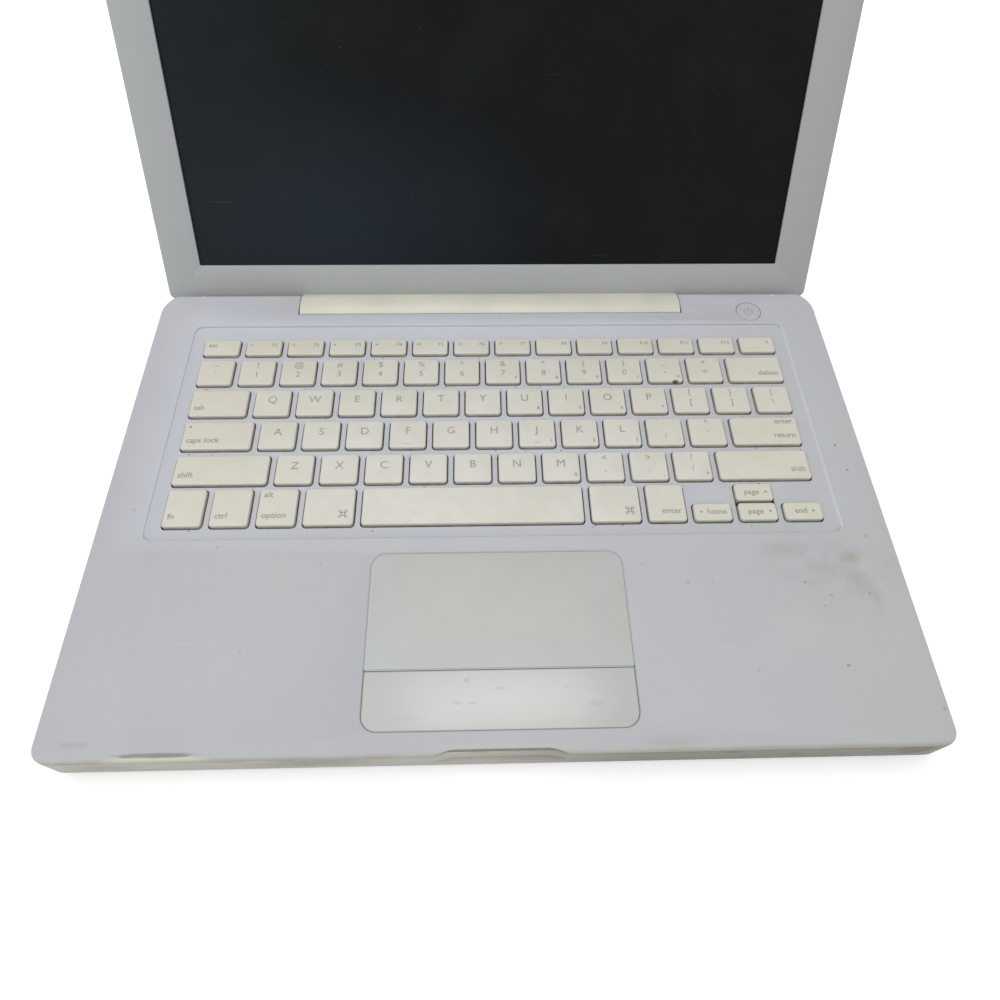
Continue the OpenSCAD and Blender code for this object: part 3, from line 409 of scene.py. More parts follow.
def key_paint():
    p = Paint("yellowed_keys", srgb(217, 214, 204), 0.38, Specular_IOR_Level=0.4)
    # Keys at the ends of the rows are yellower than the much used ones in the middle
    side = p.limits(p.calc("ABSOLUTE", p.calc("ADD", p.axis(0), -0.01)), 0.05, 0.125)
    p.over(p.calc("MULTIPLY", side, 0.55), srgb(213, 209, 193))
    p.over(p.calc("MULTIPLY", p.limits(p.noise(42, 1), 0.38, 0.62), 0.55), srgb(211, 207, 190))
    p.over(p.times(p.spot((6, -46, DECK), (80, 26, 9), 0.6), 0.5), srgb(219, 216, 210))
    p.over(p.times(p.spot((-20, -69, DECK), (44, 10, 9), 0.5), 0.5), srgb(221, 217, 208))
    # Painted shade on the round upper edge and down the sides, with brown finger grime in patches down the
    # sides
    edge_top, edge_low, side_top, side_low = 0.02048, 0.02025, 0.0202, 0.0186
    p.over(p.limits(p.axis(2), edge_top, edge_low, 0, 0.45), srgb(184, 180, 168))
    down = p.limits(p.axis(2), side_top, side_low)
    p.over(p.calc("MULTIPLY", down, 0.5), srgb(164, 158, 143))
    p.over(p.times(down, p.limits(p.noise(300, 3), 0.42, 0.62), 0.45), srgb(124, 111, 90))
    p.mottled(srgb(205, 200, 183), 0.3, 140, shift=(3, 3, 3))
    p.specks(srgb(140, 128, 104), 1300, 0.75, 0.45)
    # Dark brown mark on the front edge of a key in the number row
    p.over(p.times(p.spot((85.3, -3.9, DECK), (1.4, 0.75, 1.3), 0.35, 0.5, 900), 0.95), srgb(84, 64, 52))
    p.gloss(p.calc("MULTIPLY", p.limits(p.noise(90, 3), 0.4, 0.65), 0.5), 0.24)
    p.grain(2400, 0.000004)
    return p.done()


def pad_paint():
    p = Paint("worn_touch_pad", srgb(193, 192, 188), 0.42, Specular_IOR_Level=0.4)
    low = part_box("trackpad")[0]
    # Rubbed paler towards its sides and its front
    p.over(p.limits(p.calc("ABSOLUTE", p.axis(0)), 0.030, 0.049, 0, 0.75), srgb(188, 191, 192))
    p.over(p.limits(p.axis(1), low.y + 0.013, low.y, 0, 0.7), srgb(192, 195, 196))
    # Hand grime in the middle, a yellow patch at the right and one dark speck
    p.over(p.times(p.spot((0, -93, DECK), (34, 19, 9), 0.5, 0.3, 60), 0.35), srgb(190, 187, 181))
    p.over(p.times(p.spot((46.3, -118.6, DECK), (2.6, 11, 9), 0.7, 0.4, 120), 0.5), srgb(198, 191, 170))
    p.over(p.times(p.spot((50.2, -97.3, DECK), (0.6, 0.8, 9), 0.5, 0.4, 900), 0.4), GREY_DIRT)
    p.mottled(srgb(186, 185, 181), 0.4, 60)
    p.specks(GREY_DIRT, 900, 0.75, 0.4)
    p.gloss(p.times(p.spot((0, -95, DECK), (36, 20, 9), 0.5), 0.6), 0.3)
    p.scratches(srgb(206, 206, 202), 0.4, 0.3, 30, 1600, 0.72)
    p.grain(3000, 0.000003)
    return p.done()


def button_paint():
    p = Paint("shiny_pad_button", srgb(194, 194, 191), 0.4, Specular_IOR_Level=0.5)
    # Painted highlight over the glossy worn middle of the button
    shine = p.spot((1.2, -152, DECK), (36, 11, 9), 0.75, 0.35, 50)
    p.over(p.calc("MULTIPLY", shine, 0.85), srgb(209, 210, 210))
    p.gloss(p.calc("MULTIPLY", shine, 0.85), 0.14)
    p.over(p.times(p.spot((10, -157, DECK), (22, 4, 9), 0.8, 0.4, 60), 0.5), srgb(206, 202, 194))
    for x, y, rx, ry, a in ((-12.2, -144.1, 0.8, 0.8, 0.4), (0.1, -147, 1.5, 0.5, 0.35),
                            (-15.6, -152.3, 1.7, 0.5, 0.32), (-10, -152.4, 1.6, 0.45, 0.28),
                            (34.9, -153.3, 2.6, 0.9, 0.4), (24, -147, 1, 0.4, 0.25),
                            (-35, -157, 6, 0.8, 0.15)):
        p.over(p.times(p.spot((x, y, DECK), (rx, ry, 6), 0.5, 0.4, 900), a), srgb(158, 156, 150))
    p.over(p.limits(p.calc("ABSOLUTE", p.axis(0)), 0.026, 0.044, 0, 0.9), srgb(189, 189, 185))
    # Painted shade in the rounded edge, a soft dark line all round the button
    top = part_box("trackpad_button")[1].z
    p.over(p.limits(p.axis(2), top - 0.00001, top - 0.00025, 0, 0.7), srgb(168, 168, 165))
    p.specks(GREY_DIRT, 1000, 0.75, 0.4)
    p.scratches(srgb(178, 178, 174), 0.5, 0.1, 24, 1500, 0.7)
    p.grain(2600, 0.000003)
    return p.done()


def bezel_paint():
    p = Paint("grey_bezel", srgb(179, 181, 182), 0.48, Specular_IOR_Level=0.35)
    p.over(p.limits(p.axis(0), 0.06, 0.16, 0, 0.7), srgb(169, 169, 170))
    p.mottled(srgb(175, 177, 177), 0.5, 12)
    p.over(p.times(p.spot((-118, 58, 22), (22, 6, 6), 0.7, 0.4, 60), 0.4), srgb(160, 160, 158))
    p.specks(GREY_DIRT, 1000, 0.75, 0.4)
    p.scratches(srgb(188, 190, 190), 0.4, 0.7)
    p.gloss(p.calc("MULTIPLY", p.limits(p.noise(40, 4), 0.4, 0.7), 0.4), 0.36)
    p.grain(2600, 0.000005)
    return p.done()


def screen_paint():
    p = Paint("dark_screen", srgb(17, 20, 21), 0.3, Specular_IOR_Level=0.12)
    # Painted reflection: a soft bluish glow at the left of the screen, and lighter towards its left side
    p.over(p.spot((-90, 75, 46), (70, 60, 34), 0.8), srgb(34, 42, 52))
    p.over(p.limits(p.axis(0), -0.05, -0.14, 0, 0.5), srgb(36, 42, 46))
    p.over(p.times(p.limits(p.noise(40, 4), 0.45, 0.7), 0.18), srgb(40, 44, 45))
    p.specks(srgb(96, 99, 98), 900, 0.765, 0.4)
    p.scratches(srgb(70, 74, 76), 0.4, 0.6, 20, 900, 0.72)
    p.gloss(p.calc("MULTIPLY", p.limits(p.noise(30, 4), 0.4, 0.7), 0.5), 0.44)
    return p.done()


def metal_paint(name, colour, rough, brushed=False):
    p = Paint(name, colour, rough, Metallic=1.0)
    p.mottled([c * 0.8 for c in colour[:3]] + [1], 0.5, 120)
    p.specks(srgb(96, 88, 78), 1200, 0.74, 0.4)
    if brushed:
        lines = p.noise(1, 2, stretch=(40, 4000, 4000))
        p.raise_by(lines, 0.000004)
        p.gloss(p.calc("MULTIPLY", lines, 0.4), rough + 0.2)
    p.grain(1800, 0.000002)
    return p.done()


def plain_paint(name, colour, rough, other=None, grain=0.000004):
    p = Paint(name, colour, rough)
    p.mottled(other or [c * 0.75 for c in colour[:3]] + [1], 0.5, 60)
    p.specks([min(1, c * 1.5 + 0.03) for c in colour[:3]] + [1], 900, 0.73, 0.4)
    p.gloss(p.calc("MULTIPLY", p.limits(p.noise(100, 3), 0.4, 0.7), 0.4), min(rough + 0.15, 1))
    p.grain(2000, grain)
    return p.done()


def board_paint():
    p = Paint("circuit_board", srgb(34, 84, 58), 0.35)
    tracks = p.limits(p.noise(1, 1, stretch=(900, 60, 60)), 0.5, 0.54)
    across = p.limits(p.noise(1, 1, stretch=(60, 900, 60)), 0.5, 0.54)
    p.over(p.calc("MULTIPLY", p.calc("MAXIMUM", tracks, across), 0.5), srgb(58, 118, 80))
    p.over(p.limits(p.noise(700, 0), 0.72, 0.74), srgb(196, 186, 150))
    p.raise_by(tracks, 0.00002)
    return p.done()


def groove_paint():
    p = Paint("painted_light_fill", srgb(190, 191, 193), 0.9)
    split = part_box("trackpad_button")[1].y
    # Painted shade: the fill is darker round the button than round the pad
    p.over(p.limits(p.axis(1), split + 0.0001, split - 0.0001, 0, 0.9), srgb(186, 186, 184))
    p.mottled(srgb(180, 179, 176), 0.3, 90)
    p.grain(1500, 0.00001)
    return p.done()


def crack_paint():
    p = Paint("painted_light_gap_fill", srgb(172, 169, 165), 0.9)
    # Painted shade deeper in the crack
    p.over(p.times(p.spot((-116, front + 1.9, rim_top - 0.5), (6, 2, 2), 0.6), 0.7), srgb(150, 146, 143))
    p.mottled(srgb(158, 154, 147), 0.5, 260)
    p.grain(1800, 0.00001)
    return p.done()


def light_paint():
    p = Paint("cloudy_lens", srgb(214, 213, 205), 0.2, Transmission_Weight=0.25, IOR=1.46)
    p.mottled(srgb(190, 186, 172), 0.4, 400)
    p.grain(3000, 0.000002)
    return p.done()


PAINTS = {
    "case": case_paint(),
    "base": base_paint(),
    "lid": cream_paint("yellowed_lid", srgb(214, 212, 203), srgb(204, 199, 183), 0.45).done(),
    "bar": cream_paint("yellowed_hinge_cover", srgb(224, 221, 204), srgb(217, 213, 193), 0.3).done(),
    "battery": cream_paint("battery_plastic", srgb(208, 205, 194), srgb(198, 192, 174), 0.5).done(),
    "keys": key_paint(),
    "pad": pad_paint(),
    "button": button_paint(),
    "bezel": bezel_paint(),
    "screen": screen_paint(),
    "print": plain_paint("grey_print", srgb(149, 147, 139), 0.5, srgb(166, 163, 154)),
    "print_pale": plain_paint("pale_print", srgb(158, 160, 164), 0.5, srgb(168, 170, 173)),
    "steel": metal_paint("stamped_steel", srgb(188, 188, 190), 0.35, True),
    "plated": metal_paint("plated_steel", srgb(205, 205, 207), 0.22),
    "turned": metal_paint("turned_steel", srgb(160, 160, 163), 0.32, True),
    "copper": metal_paint("copper", srgb(196, 122, 84), 0.3, True),
    "magnet": metal_paint("magnet", srgb(150, 150, 154), 0.4),
    "drive": metal_paint("cast_metal", srgb(176, 178, 180), 0.42),
    "board": board_paint(),
    "dark": plain_paint("dark_plastic", srgb(38, 38, 40), 0.5),
    "silicone": plain_paint("silicone_sheet", srgb(205, 205, 200), 0.6, srgb(190, 190, 184)),
    "foot": plain_paint("worn_rubber_foot", srgb(190, 186, 176), 0.75, srgb(150, 142, 126)),
    "felt": plain_paint("felt_lip", srgb(34, 34, 34), 0.95, srgb(60, 58, 54), 0.00003),
    "cable": plain_paint("cable_jacket", srgb(30, 30, 31), 0.5),
    "lens": light_paint(),
    "groove": groove_paint(),
    "gap_light_fill": crack_paint(),
    "dirt": plain_paint("crumbs_and_dust", srgb(122, 104, 78), 0.9, srgb(160, 150, 130), 0.00002),
}

SHOWN_AS = {
    "keyboard_plate": "steel", "dome_sheet": "silicone", "trackpad_bracket": "steel", "power_button": "case",
    "battery": "battery", "battery_lock": "turned", "logic_board": "board", "memory_modules": "board",
    "heatsink": "copper", "fan_housing": "dark", "fan_rotor": "dark", "optical_drive": "steel",
    "slot_felt": "felt", "hard_drive": "drive", "wireless_card": "board", "speakers": "dark",
    "power_inlet": "plated", "network_port": "plated", "serial_port": "plated", "video_port": "plated",
    "usb_ports": "plated", "audio_jacks": "lens", "sleep_light": "lens", "base_magnets": "magnet",
    "rubber_feet": "foot", "case_screws": "turned", "hinge_brackets": "turned", "display_lead": "cable",
    "lcd_panel": "screen", "hinge_arms": "turned", "inverter_board": "board", "lid_magnets": "magnet",
    "bezel_bumpers": "foot", "display_cable": "cable", "top_case": "case", "bottom_case": "base",
    "lid_cover": "lid", "display_bezel": "bezel", "clutch_cover": "bar", "trackpad": "pad",
    "trackpad_button": "button",
}
record = frame["record"]
BODY_OF = {n: body for body, nodes in record["behaviour"]["bodies"].items() for n in nodes}
KEY_NODES = [n for n in frame["nodes"] if n not in SHOWN_AS]

# The CAD nodes that stay visible take their paints directly
for name, node in frame["nodes"].items():
    node.data.materials.clear()
    node.data.materials.append(PAINTS[SHOWN_AS.get(name, "keys")])


# ---------------------------------------------------------------- mesh helpers

WELL_ROUND = 0.8 * MM  # round on the rim of the keyboard well


def make(name, bm, paint, node, sharp=35.0):
    """Turns a mesh under construction into a piece that rides on a node's body."""
    bmesh.ops.recalc_face_normals(bm, faces=bm.faces)
    mesh = bpy.data.meshes.new(name)
    bm.to_mesh(mesh)
    bm.free()
    mesh.shade_smooth()
    mesh.set_sharp_from_angle(angle=math.radians(sharp))
    mesh.materials.append(PAINTS[paint])
    o = bpy.data.objects.new(name, mesh)
    scene.collection.objects.link(o)
    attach(o, BODY_OF[node])
    return o


def welded(node):
    """A copy of a CAD node's mesh, with its points joined."""
    bm = bmesh.new()
    bm.from_mesh(frame["nodes"][node].data)
    bmesh.ops.remove_doubles(bm, verts=bm.verts, dist=SAME_POINT)
    return bm


def refined(node, width, angle=32, wide=None):
    """A copy of a CAD node whose hard edges are softened by a small round. Edges between points that
    pass the test wide get a larger one first."""
    bm = welded(node)
    bmesh.ops.dissolve_limit(bm, angle_limit=math.radians(0.5), verts=bm.verts, edges=bm.edges)
    if wide:
        edges = [e for e in bm.edges if all(wide(v.co) for v in e.verts)
                 and len(e.link_faces) == 2 and e.calc_face_angle(0) > math.radians(angle)]
        bmesh.ops.bevel(bm, geom=edges, offset=WELL_ROUND, segments=4, profile=0.5, affect="EDGES",
                        clamp_overlap=True, loop_slide=False)
    edges = [e for e in bm.edges if len(e.link_faces) == 2
             and e.calc_face_angle(0) > math.radians(angle) and e.calc_length() > width * 0.2]
    bmesh.ops.bevel(bm, geom=edges, offset=width, segments=2, profile=0.5, affect="EDGES",
                    clamp_overlap=True, loop_slide=False)
    o = make(node + "_finish", bm, SHOWN_AS[node], node, 30.0)
    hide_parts(node)


def islands(node):
    """The boxes of a node's separate solids, from left to right and front to back, in metres."""
    bm = welded(node)
    bm.verts.ensure_lookup_table()
    seen, out = set(), []
    for v in bm.verts:
        if v.index in seen:
            continue
        group, queue = [], [v]
        seen.add(v.index)
        while queue:
            w = queue.pop()
            group.append(w.co.copy())
            for e in w.link_edges:
                x = e.other_vert(w)
                if x.index not in seen:
                    seen.add(x.index)
                    queue.append(x)
        lo = Vector([min(c[i] for c in group) for i in range(3)])
        hi = Vector([max(c[i] for c in group) for i in range(3)])
        out.append((lo, hi))
    bm.free()
    return sorted(out, key=lambda b: (round(b[0].x, 4), b[0].y))


def outline(lo, hi, inset, rf, rb, z, steps=6):
    """A ring of points round a rectangle with round corners, drawn in by some amount."""
    x0, x1, y0, y1 = lo.x + inset, hi.x - inset, lo.y + inset, hi.y - inset
    out = []
    for cx, cy, r, a in ((x1, y1, rb, 0), (x0, y1, rb, 90), (x0, y0, rf, 180), (x1, y0, rf, 270)):
        r = max(r - inset, 0.00015)
        mx, my = cx - math.copysign(r, cx - (x0 + x1) / 2), cy - math.copysign(r, cy - (y0 + y1) / 2)
        for i in range(steps + 1):
            t = math.radians(a + 90 * i / steps)
            out.append(Vector((mx + r * math.cos(t), my + r * math.sin(t), z)))
    return out


def loft(bm, rings, caps=True):
    """Skins a stack of rings with as many points each, and closes its two ends."""
    made = [[bm.verts.new(p) for p in ring] for ring in rings]
    for a, b in zip(made, made[1:]):
        for i in range(len(a)):
            j = (i + 1) % len(a)
            bm.faces.new((a[i], a[j], b[j], b[i]))
    if caps:
        bm.faces.new(list(reversed(made[0])))
        bm.faces.new(made[-1])


# ---------------------------------------------------------------- keys and their print

# Each key's print, from left to right: (text, place across 0 to 1, mm from the front, size in mm, align)
BIG, MID, SMALL, NARROW, ESC, TINY = 5.4, 4.5, 3.85, 3.6, 3.4, 2.8
LETTER_Y, UPPER_Y, LOWER_Y, WORD_Y, PAD_MARK_Y, FUNCTION_Y = 9.3, 11.9, 6.2, 5.2, 3.4, 6.4
PRINT_MARGIN = 2.0  # from a key's side to a word that is set against it, mm
PAD_MARK = {"U": "4", "I": "5", "O": "6", "P": "*", "J": "1", "K": "2", "L": "3", "M": "0",
            "7": "7", "8": "8", "9": "9", "0": "/", "-": "=", ";": "-", ".": ".", "/": "+"}


def pad_mark(c):
    """The small number pad mark at the lower right of a key, where it has one."""
    return [(PAD_MARK[c], 0.87, PAD_MARK_Y, TINY, "CENTER")] if c in PAD_MARK else []


def letter(c):
    return [(c, 0.5, LETTER_Y, BIG, "CENTER")] + pad_mark(c)


def pair(upper, lower):
    return [(upper, 0.5, UPPER_Y, MID, "CENTER"), (lower, 0.5, LOWER_Y, MID, "CENTER")] + pad_mark(lower)


def word(text, align, y=WORD_Y, size=SMALL):
    return (text, {"LEFT": 0.0, "RIGHT": 1.0, "CENTER": 0.5}[align], y, size, align)


PRINT = {
    "function_keys": [[word("esc", "LEFT", FUNCTION_Y, ESC)]]
    + [[word("F%d" % i, "RIGHT", FUNCTION_Y, TINY)] for i in range(1, 13)] + [[]],
    "number_keys": [pair(upper, lower) for upper, lower in zip("~!@#$%^&*()_+", "`1234567890-=")],
    "delete_key": [[word("delete", "RIGHT")]],
    "tab_key": [[word("tab", "LEFT")]],
    "top_letter_keys": [letter(c) for c in "QWERTYUIOP"] + [pair("{", "["), pair("}", "]"), pair("|", "\\")],
    "caps_lock_key": [[word("caps lock", "LEFT")]],
    "home_letter_keys": [letter(c) for c in "ASDFGHJKL"] + [pair(":", ";"), pair('"', "'")],
    "return_key": [[word("enter", "RIGHT", 12.9), word("return", "RIGHT")]],
    "left_shift_key": [[word("shift", "LEFT")]],
    "bottom_letter_keys": [letter(c) for c in "ZXCVBNM"] + [pair("<", ","), pair(">", "."), pair("?", "/")],
    "right_shift_key": [[word("shift", "RIGHT")]],
    "fn_key": [[word("fn", "LEFT")]],
    "control_key": [[word("ctrl", "LEFT")]],
    "option_key": [[word("alt", "LEFT", 15.2), word("option", "LEFT")]],
    "left_command_key": [[]],
    "space_bar": [[]],
    "right_command_key": [[]],
    "enter_key": [[word("enter", "RIGHT")]],
    "arrow_keys": [[("home", 0.6, 4.5, NARROW, "CENTER")], [("page", 0.44, 4.4, NARROW, "CENTER")],
                   [("page", 0.44, 4.4, NARROW, "CENTER")], [("end", 0.44, 4.5, NARROW, "CENTER")]],
}


def write(bm, text, x, y, z, size, align):
    """Adds thin raised letters, flat on the plane z, in metres."""
    curve = bpy.data.curves.new("letters", "FONT")
    curve.body = text
    curve.size = size
    curve.align_x = align
    curve.align_y = "CENTER"
    curve.extrude = HAIR
    curve.offset = 0.01 * size if size < 4 * MM else 0
    curve.resolution_u = 3
    o = bpy.data.objects.new("letters", curve)
    scene.collection.objects.link(o)
    bpy.context.view_layer.update()
    mesh = bpy.data.meshes.new_from_object(o.evaluated_get(bpy.context.evaluated_depsgraph_get()))
    mesh.transform(Matrix.Translation((x, y, z)))
    bm.from_mesh(mesh)
    bpy.data.objects.remove(o)
    bpy.data.curves.remove(curve)
    bpy.data.meshes.remove(mesh)


def plate(bm, points, z):
    """A thin flat shape on the plane z, from its outline in metres."""
    low = [bm.verts.new((x, y, z - HAIR)) for x, y in points]
    top = [bm.verts.new((x, y, z + HAIR)) for x, y in points]
    bm.faces.new(list(reversed(low)))
    bm.faces.new(top)
    for i in range(len(points)):
        j = (i + 1) % len(points)
        bm.faces.new((low[i], low[j], top[j], top[i]))


def stroke(bm, points, width, z, closed=False):
    """A thin line of one width through some points."""
    n = len(points)
    left, right_side = [], []
    for i, (x, y) in enumerate(points):
        ax, ay = points[(i - 1) % n] if closed or i else points[i]
        bx, by = points[(i + 1) % n] if closed or i < n - 1 else points[i]
        length = math.hypot(bx - ax, by - ay) or 1
        ox, oy = -(by - ay) / length * width / 2, (bx - ax) / length * width / 2
        left.append((x + ox, y + oy))
        right_side.append((x - ox, y - oy))
    low, top = {}, {}
    for i in range(n):
        for s, side in enumerate((left, right_side)):
            low[i, s] = bm.verts.new((side[i][0], side[i][1], z - HAIR))
            top[i, s] = bm.verts.new((side[i][0], side[i][1], z + HAIR))
    for i in range(n if closed else n - 1):
        j = (i + 1) % n
        bm.faces.new((top[i, 0], top[i, 1], top[j, 1], top[j, 0]))
        bm.faces.new((low[i, 0], low[j, 0], low[j, 1], low[i, 1]))
        for s in (0, 1):
            bm.faces.new((low[i, s], top[i, s], top[j, s], low[j, s]))
    if not closed:
        for i in (0, n - 1):
            bm.faces.new((low[i, 0], low[i, 1], top[i, 1], top[i, 0]))


def circle(x, y, r, start=0.0, end=360.0, steps=16):
    closed = end - start >= 360
    count = steps if closed else steps + 1
    return [(x + r * math.cos(math.radians(start + (end - start) * i / steps)),
             y + r * math.sin(math.radians(start + (end - start) * i / steps))) for i in range(count)]


def looped_square(bm, x, y, s, z):
    """The looped square of a command key: four corner loops joined by four bars."""
    h, r, w = s * 0.2, s * 0.17, s * 0.1
    for sx, sy, a in ((1, 1, -90), (-1, 1, 0), (-1, -1, 90), (1, -1, 180)):
        cx, cy = x + sx * (h + r), y + sy * (h + r)
        stroke(bm, circle(cx, cy, r, a, a + 270, 12), w, z)
    for d in (-1, 1):
        stroke(bm, [(x - h - r, y + d * h), (x + h + r, y + d * h)], w, z)
        stroke(bm, [(x + d * h, y - h - r), (x + d * h, y + h + r)], w, z)


def triangle(bm, x, y, r, angle, z):
    plate(bm, [(x + r * math.cos(math.radians(angle + a)), y + r * math.sin(math.radians(angle + a)))
               for a in (0, 120, 240)], z)


def box_mark(bm, x, y, w, h, z):
    plate(bm, [(x - w / 2, y - h / 2), (x + w / 2, y - h / 2), (x + w / 2, y + h / 2),
               (x - w / 2, y + h / 2)], z)


def function_mark(bm, i, x, y, z):
    """Small generic marks at the left of the first function keys."""
    m = MM
    if i in (1, 2):
        r = (0.35, 0.5)[i - 1] * m
        stroke(bm, circle(x, y, r, steps=10), 0.2 * m, z, True)
        for a in range(0, 360, 60):
            c, s = math.cos(math.radians(a)), math.sin(math.radians(a))
            stroke(bm, [(x + c * r * 1.7, y + s * r * 1.7), (x + c * r * 2.3, y + s * r * 2.3)], 0.18 * m, z)
    elif i in (3, 4, 5):
        plate(bm, [(x - 0.7 * m, y - 0.3 * m), (x - 0.3 * m, y - 0.3 * m), (x + 0.2 * m, y - 0.7 * m),
                   (x + 0.2 * m, y + 0.7 * m), (x - 0.3 * m, y + 0.3 * m), (x - 0.7 * m, y + 0.3 * m)], z)
        for k in range(i - 3):
            stroke(bm, circle(x, y, (0.7 + 0.5 * k) * m, -45, 45, 6), 0.2 * m, z)
    elif i == 6:
        write(bm, "num", x + 0.6 * m, y + 0.6 * m, z, 1.3 * m, "CENTER")
        write(bm, "lock", x + 0.6 * m, y - 0.6 * m, z, 1.3 * m, "CENTER")
    elif i == 7:
        for dx, dy in ((0, 0), (0.5, 0.5)):
            corners = ((-0.8, -0.5), (0.6, -0.5), (0.6, 0.4), (-0.8, 0.4))
            stroke(bm, [(x + cx * m + dx * m, y + cy * m + dy * m) for cx, cy in corners], 0.18 * m, z, True)


def key_form(bm, lo, hi):
    """One hollow key cap with round corners and a soft top edge, a little slimmer than the CAD solid."""
    r, wall = 1.5 * MM, 1.1 * MM
    z0, z1 = lo.z + 0.03 * MM, hi.z
    shape = [(wall, z1 - wall), (wall, z0), (0.0, z0), (0.0, z1 - 0.75 * MM), (0.04 * MM, z1 - 0.5 * MM),
             (0.13 * MM, z1 - 0.27 * MM), (0.28 * MM, z1 - 0.11 * MM), (0.48 * MM, z1 - 0.03 * MM),
             (0.75 * MM, z1)]
    lo, hi = lo + Vector((0.14, 0.3, 0)) * MM, hi - Vector((0.14, 0.04, 0)) * MM
    loft(bm, [outline(lo, hi, inset, r, r, z) for inset, z in shape])


for node in KEY_NODES:
    caps, marks = bmesh.new(), bmesh.new()
    boxes = islands(node)
    texts = PRINT[node]
    if len(boxes) != len(texts):
        raise ValueError("%s has %d keys, but print for %d" % (node, len(boxes), len(texts)))
    for i, ((lo, hi), print_list) in enumerate(zip(boxes, texts)):
        key_form(caps, lo, hi)
        z = hi.z
        for text, across, y, size, align in print_list:
            margin = {"LEFT": PRINT_MARGIN, "RIGHT": -PRINT_MARGIN, "CENTER": 0.0}[align] * MM
            write(marks, text, lo.x + (hi.x - lo.x) * across + margin, lo.y + y * MM, z, size * MM, align)
        if node == "function_keys" and 0 < i < 8:
            function_mark(marks, i, lo.x + 2.6 * MM, lo.y + 6.6 * MM, z)
        if node == "function_keys" and i == 13:
            x, y = hi.x - 3.2 * MM, lo.y + 6.8 * MM
            triangle(marks, x, y, 0.75 * MM, 90, z)
            box_mark(marks, x, y - 0.75 * MM, 1.3 * MM, 0.28 * MM, z)
        if node in ("left_command_key", "right_command_key"):
            looped_square(marks, hi.x - 4.6 * MM, lo.y + 5.6 * MM, 3.3 * MM, z)
        if node == "caps_lock_key":
            plate(marks, circle(lo.x + 2.7 * MM, lo.y + 12.6 * MM, 0.6 * MM), z)
        if node == "arrow_keys":
            where, angle = ((0.2, 180), (0.82, 270), (0.82, 90), (0.76, 0))[i]
            triangle(marks, lo.x + (hi.x - lo.x) * where, lo.y + 4.5 * MM, 0.85 * MM, angle, z)
        if node == "home_letter_keys" and i in (3, 6):
            # The feel ridges of the F and J keys
            ridge_lo = Vector((lo.x + 6.4 * MM, lo.y + 2.2 * MM, 0))
            ridge_hi = Vector((hi.x - 6.4 * MM, lo.y + 2.7 * MM, 0))
            loft(caps, [outline(ridge_lo, ridge_hi, a * MM, 0.2 * MM, 0.2 * MM, z + b * MM)
                        for a, b in ((0, -0.2), (0, 0.1), (0.12, 0.22))])
    o = make(node + "_caps", caps, "keys", node)
    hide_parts(node)
    if len(marks.verts):
        make(node + "_print", marks, "print", node)
    else:
        marks.free()


# ---------------------------------------------------------------- touch pad, button and power button

PAD_R, SPLIT_R = 6 * MM, 0.5 * MM  # outer corners of pad and button, and those at the line between them


def soft_slab(name, node, rf, rb, edge, paint):
    """A slab over a node's box, with corners of radius rf in front and rb behind and a round upper edge."""
    lo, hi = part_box(node)
    bm = bmesh.new()
    shape = [(0.15 * edge, lo.z), (0.0, lo.z + 0.15 * edge), (0.0, hi.z - edge),
             (0.12 * edge, hi.z - 0.5 * edge), (0.4 * edge, hi.z - 0.16 * edge), (0.9 * edge, hi.z)]
    loft(bm, [outline(lo, hi, inset, rf, rb, z, 10) for inset, z in shape])
    o = make(name, bm, paint, node)
    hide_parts(node)


soft_slab("touch_surface", "trackpad", SPLIT_R, PAD_R, 0.35 * MM, "pad")
soft_slab("pad_button", "trackpad_button", PAD_R, SPLIT_R, 0.8 * MM, "button")

# A pale fill in the groove round the pad and between the pad and its button: painted light that keeps the
# narrow gaps from rendering dark
pad_lo, pad_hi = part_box("trackpad")
btn_lo, btn_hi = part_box("trackpad_button")
groove_fill = bmesh.new()
groove_fill_z = pad_hi.z - 0.07 * MM
# The fill's section: how far in from the pad's edge and how deep under its surface, mm
groove_fill_shape = ((-0.28, 0.8), (-0.28, 0), (-0.15, -0.04), (-0.02, 0), (-0.02, 0.8), (-0.28, 0.8))
loft(groove_fill, [outline(btn_lo, pad_hi, a * MM, PAD_R, PAD_R, groove_fill_z - b * MM, 10) for a, b in groove_fill_shape],
     caps=False)
bmesh.ops.remove_doubles(groove_fill, verts=groove_fill.verts, dist=SAME_POINT)
strip_lo = Vector((pad_lo.x + 0.3 * MM, btn_hi.y + 0.02 * MM, 0))
strip_hi = Vector((pad_hi.x - 0.3 * MM, pad_lo.y - 0.02 * MM, 0))
loft(groove_fill, [outline(strip_lo, strip_hi, 0, 0.1 * MM, 0.1 * MM, groove_fill_z - b * MM, 2) for b in (0.8, 0)])
make("groove_light_fill", groove_fill, "groove", "top_case")

# A pale fill in the crack and under the edge of the thumb notch: painted light that keeps these gaps from
# rendering dark
gap_fill = bmesh.new()
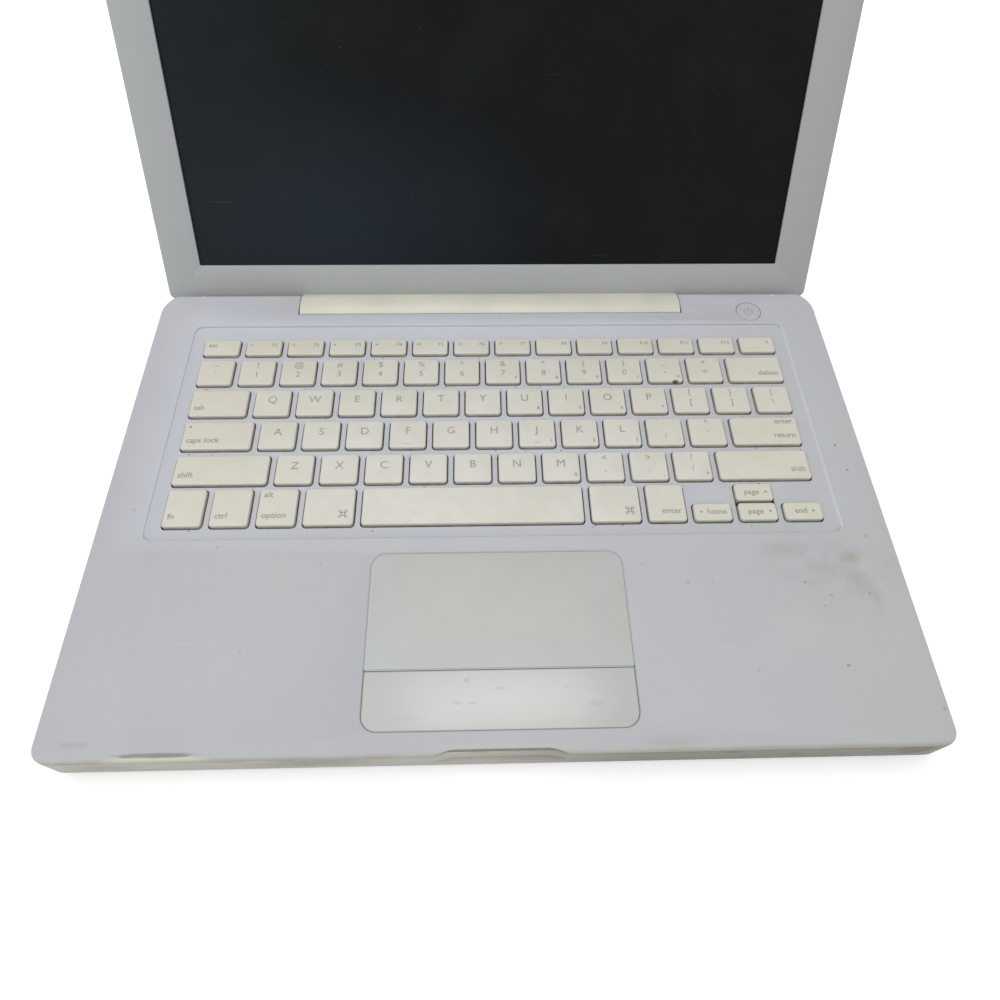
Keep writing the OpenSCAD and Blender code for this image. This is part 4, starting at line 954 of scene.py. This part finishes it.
# Each strip's sides, measured from the middle and from the front, its depth under the rim and its height
for x0, x1, y0, y1, under, deep in ((-132, -107, 1.35, 2.45, 0.2, 0.5), (-21, 21, 1.75, 2.3, 0.9, 0.75)):
    lo, hi = Vector((x0, front + y0, 0)) * MM, Vector((x1, front + y1, 0)) * MM
    loft(gap_fill, [outline(lo, hi, 0, 0.3 * MM, 0.3 * MM, (rim_top - z) * MM, 3)
                  for z in (under + deep, under)])
make("gap_light_fill", gap_fill, "gap_light_fill", "top_case")

# The mark on the power button: an open ring and a bar
power_lo, power_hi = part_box("power_button")
power_at = (power_lo + power_hi) / 2
marks = bmesh.new()
stroke(marks, circle(power_at.x, power_at.y, 2.1 * MM, 122, 418, 28), 0.5 * MM, power_hi.z)
stroke(marks, [(power_at.x, power_at.y + 0.5 * MM), (power_at.x, power_at.y + 2.7 * MM)],
       0.5 * MM, power_hi.z)
make("power_mark", marks, "print_pale", "power_button")


# ---------------------------------------------------------------- shells with softened edges

plate_lo, plate_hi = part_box("keyboard_plate")


def on_well_rim(co):
    """True for a point on the upper rim of the keyboard well."""
    return (co.z > top_hi.z - 0.00001 and abs(co.x) < plate_hi.x + 0.003
            and plate_lo.y - 0.003 < co.y < plate_hi.y + 0.008)


refined("top_case", 0.16 * MM, wide=on_well_rim)
refined("bottom_case", 0.2 * MM, angle=40)
refined("lid_cover", 0.25 * MM, angle=40)
refined("display_bezel", 0.18 * MM)
refined("clutch_cover", 0.25 * MM, angle=40)


# ---------------------------------------------------------------- dust and crumbs between the keys

crumbs = bmesh.new()
well_z = rim_top - WELL_DEPTH
# The front line of each row of keys; crumbs lie in the gap in front of it
rows = sorted({round(lo.y, 5) for node in KEY_NODES for lo, hi in islands(node)})
for _ in range(70):
    y = chance.choice(rows) - chance.uniform(0.7, 2.1) * MM
    x = chance.uniform(-0.136, 0.136)
    size = chance.uniform(0.12, 0.34) * MM
    grown = bmesh.ops.create_icosphere(crumbs, subdivisions=1, radius=size)
    for v in grown["verts"]:
        v.co = Vector((v.co.x * chance.uniform(0.8, 1.5), v.co.y * chance.uniform(0.8, 1.3), v.co.z * 0.6))
        v.co += Vector((x, y, well_z * MM + size * 0.3))
make("crumbs", crumbs, "dirt", "top_case")
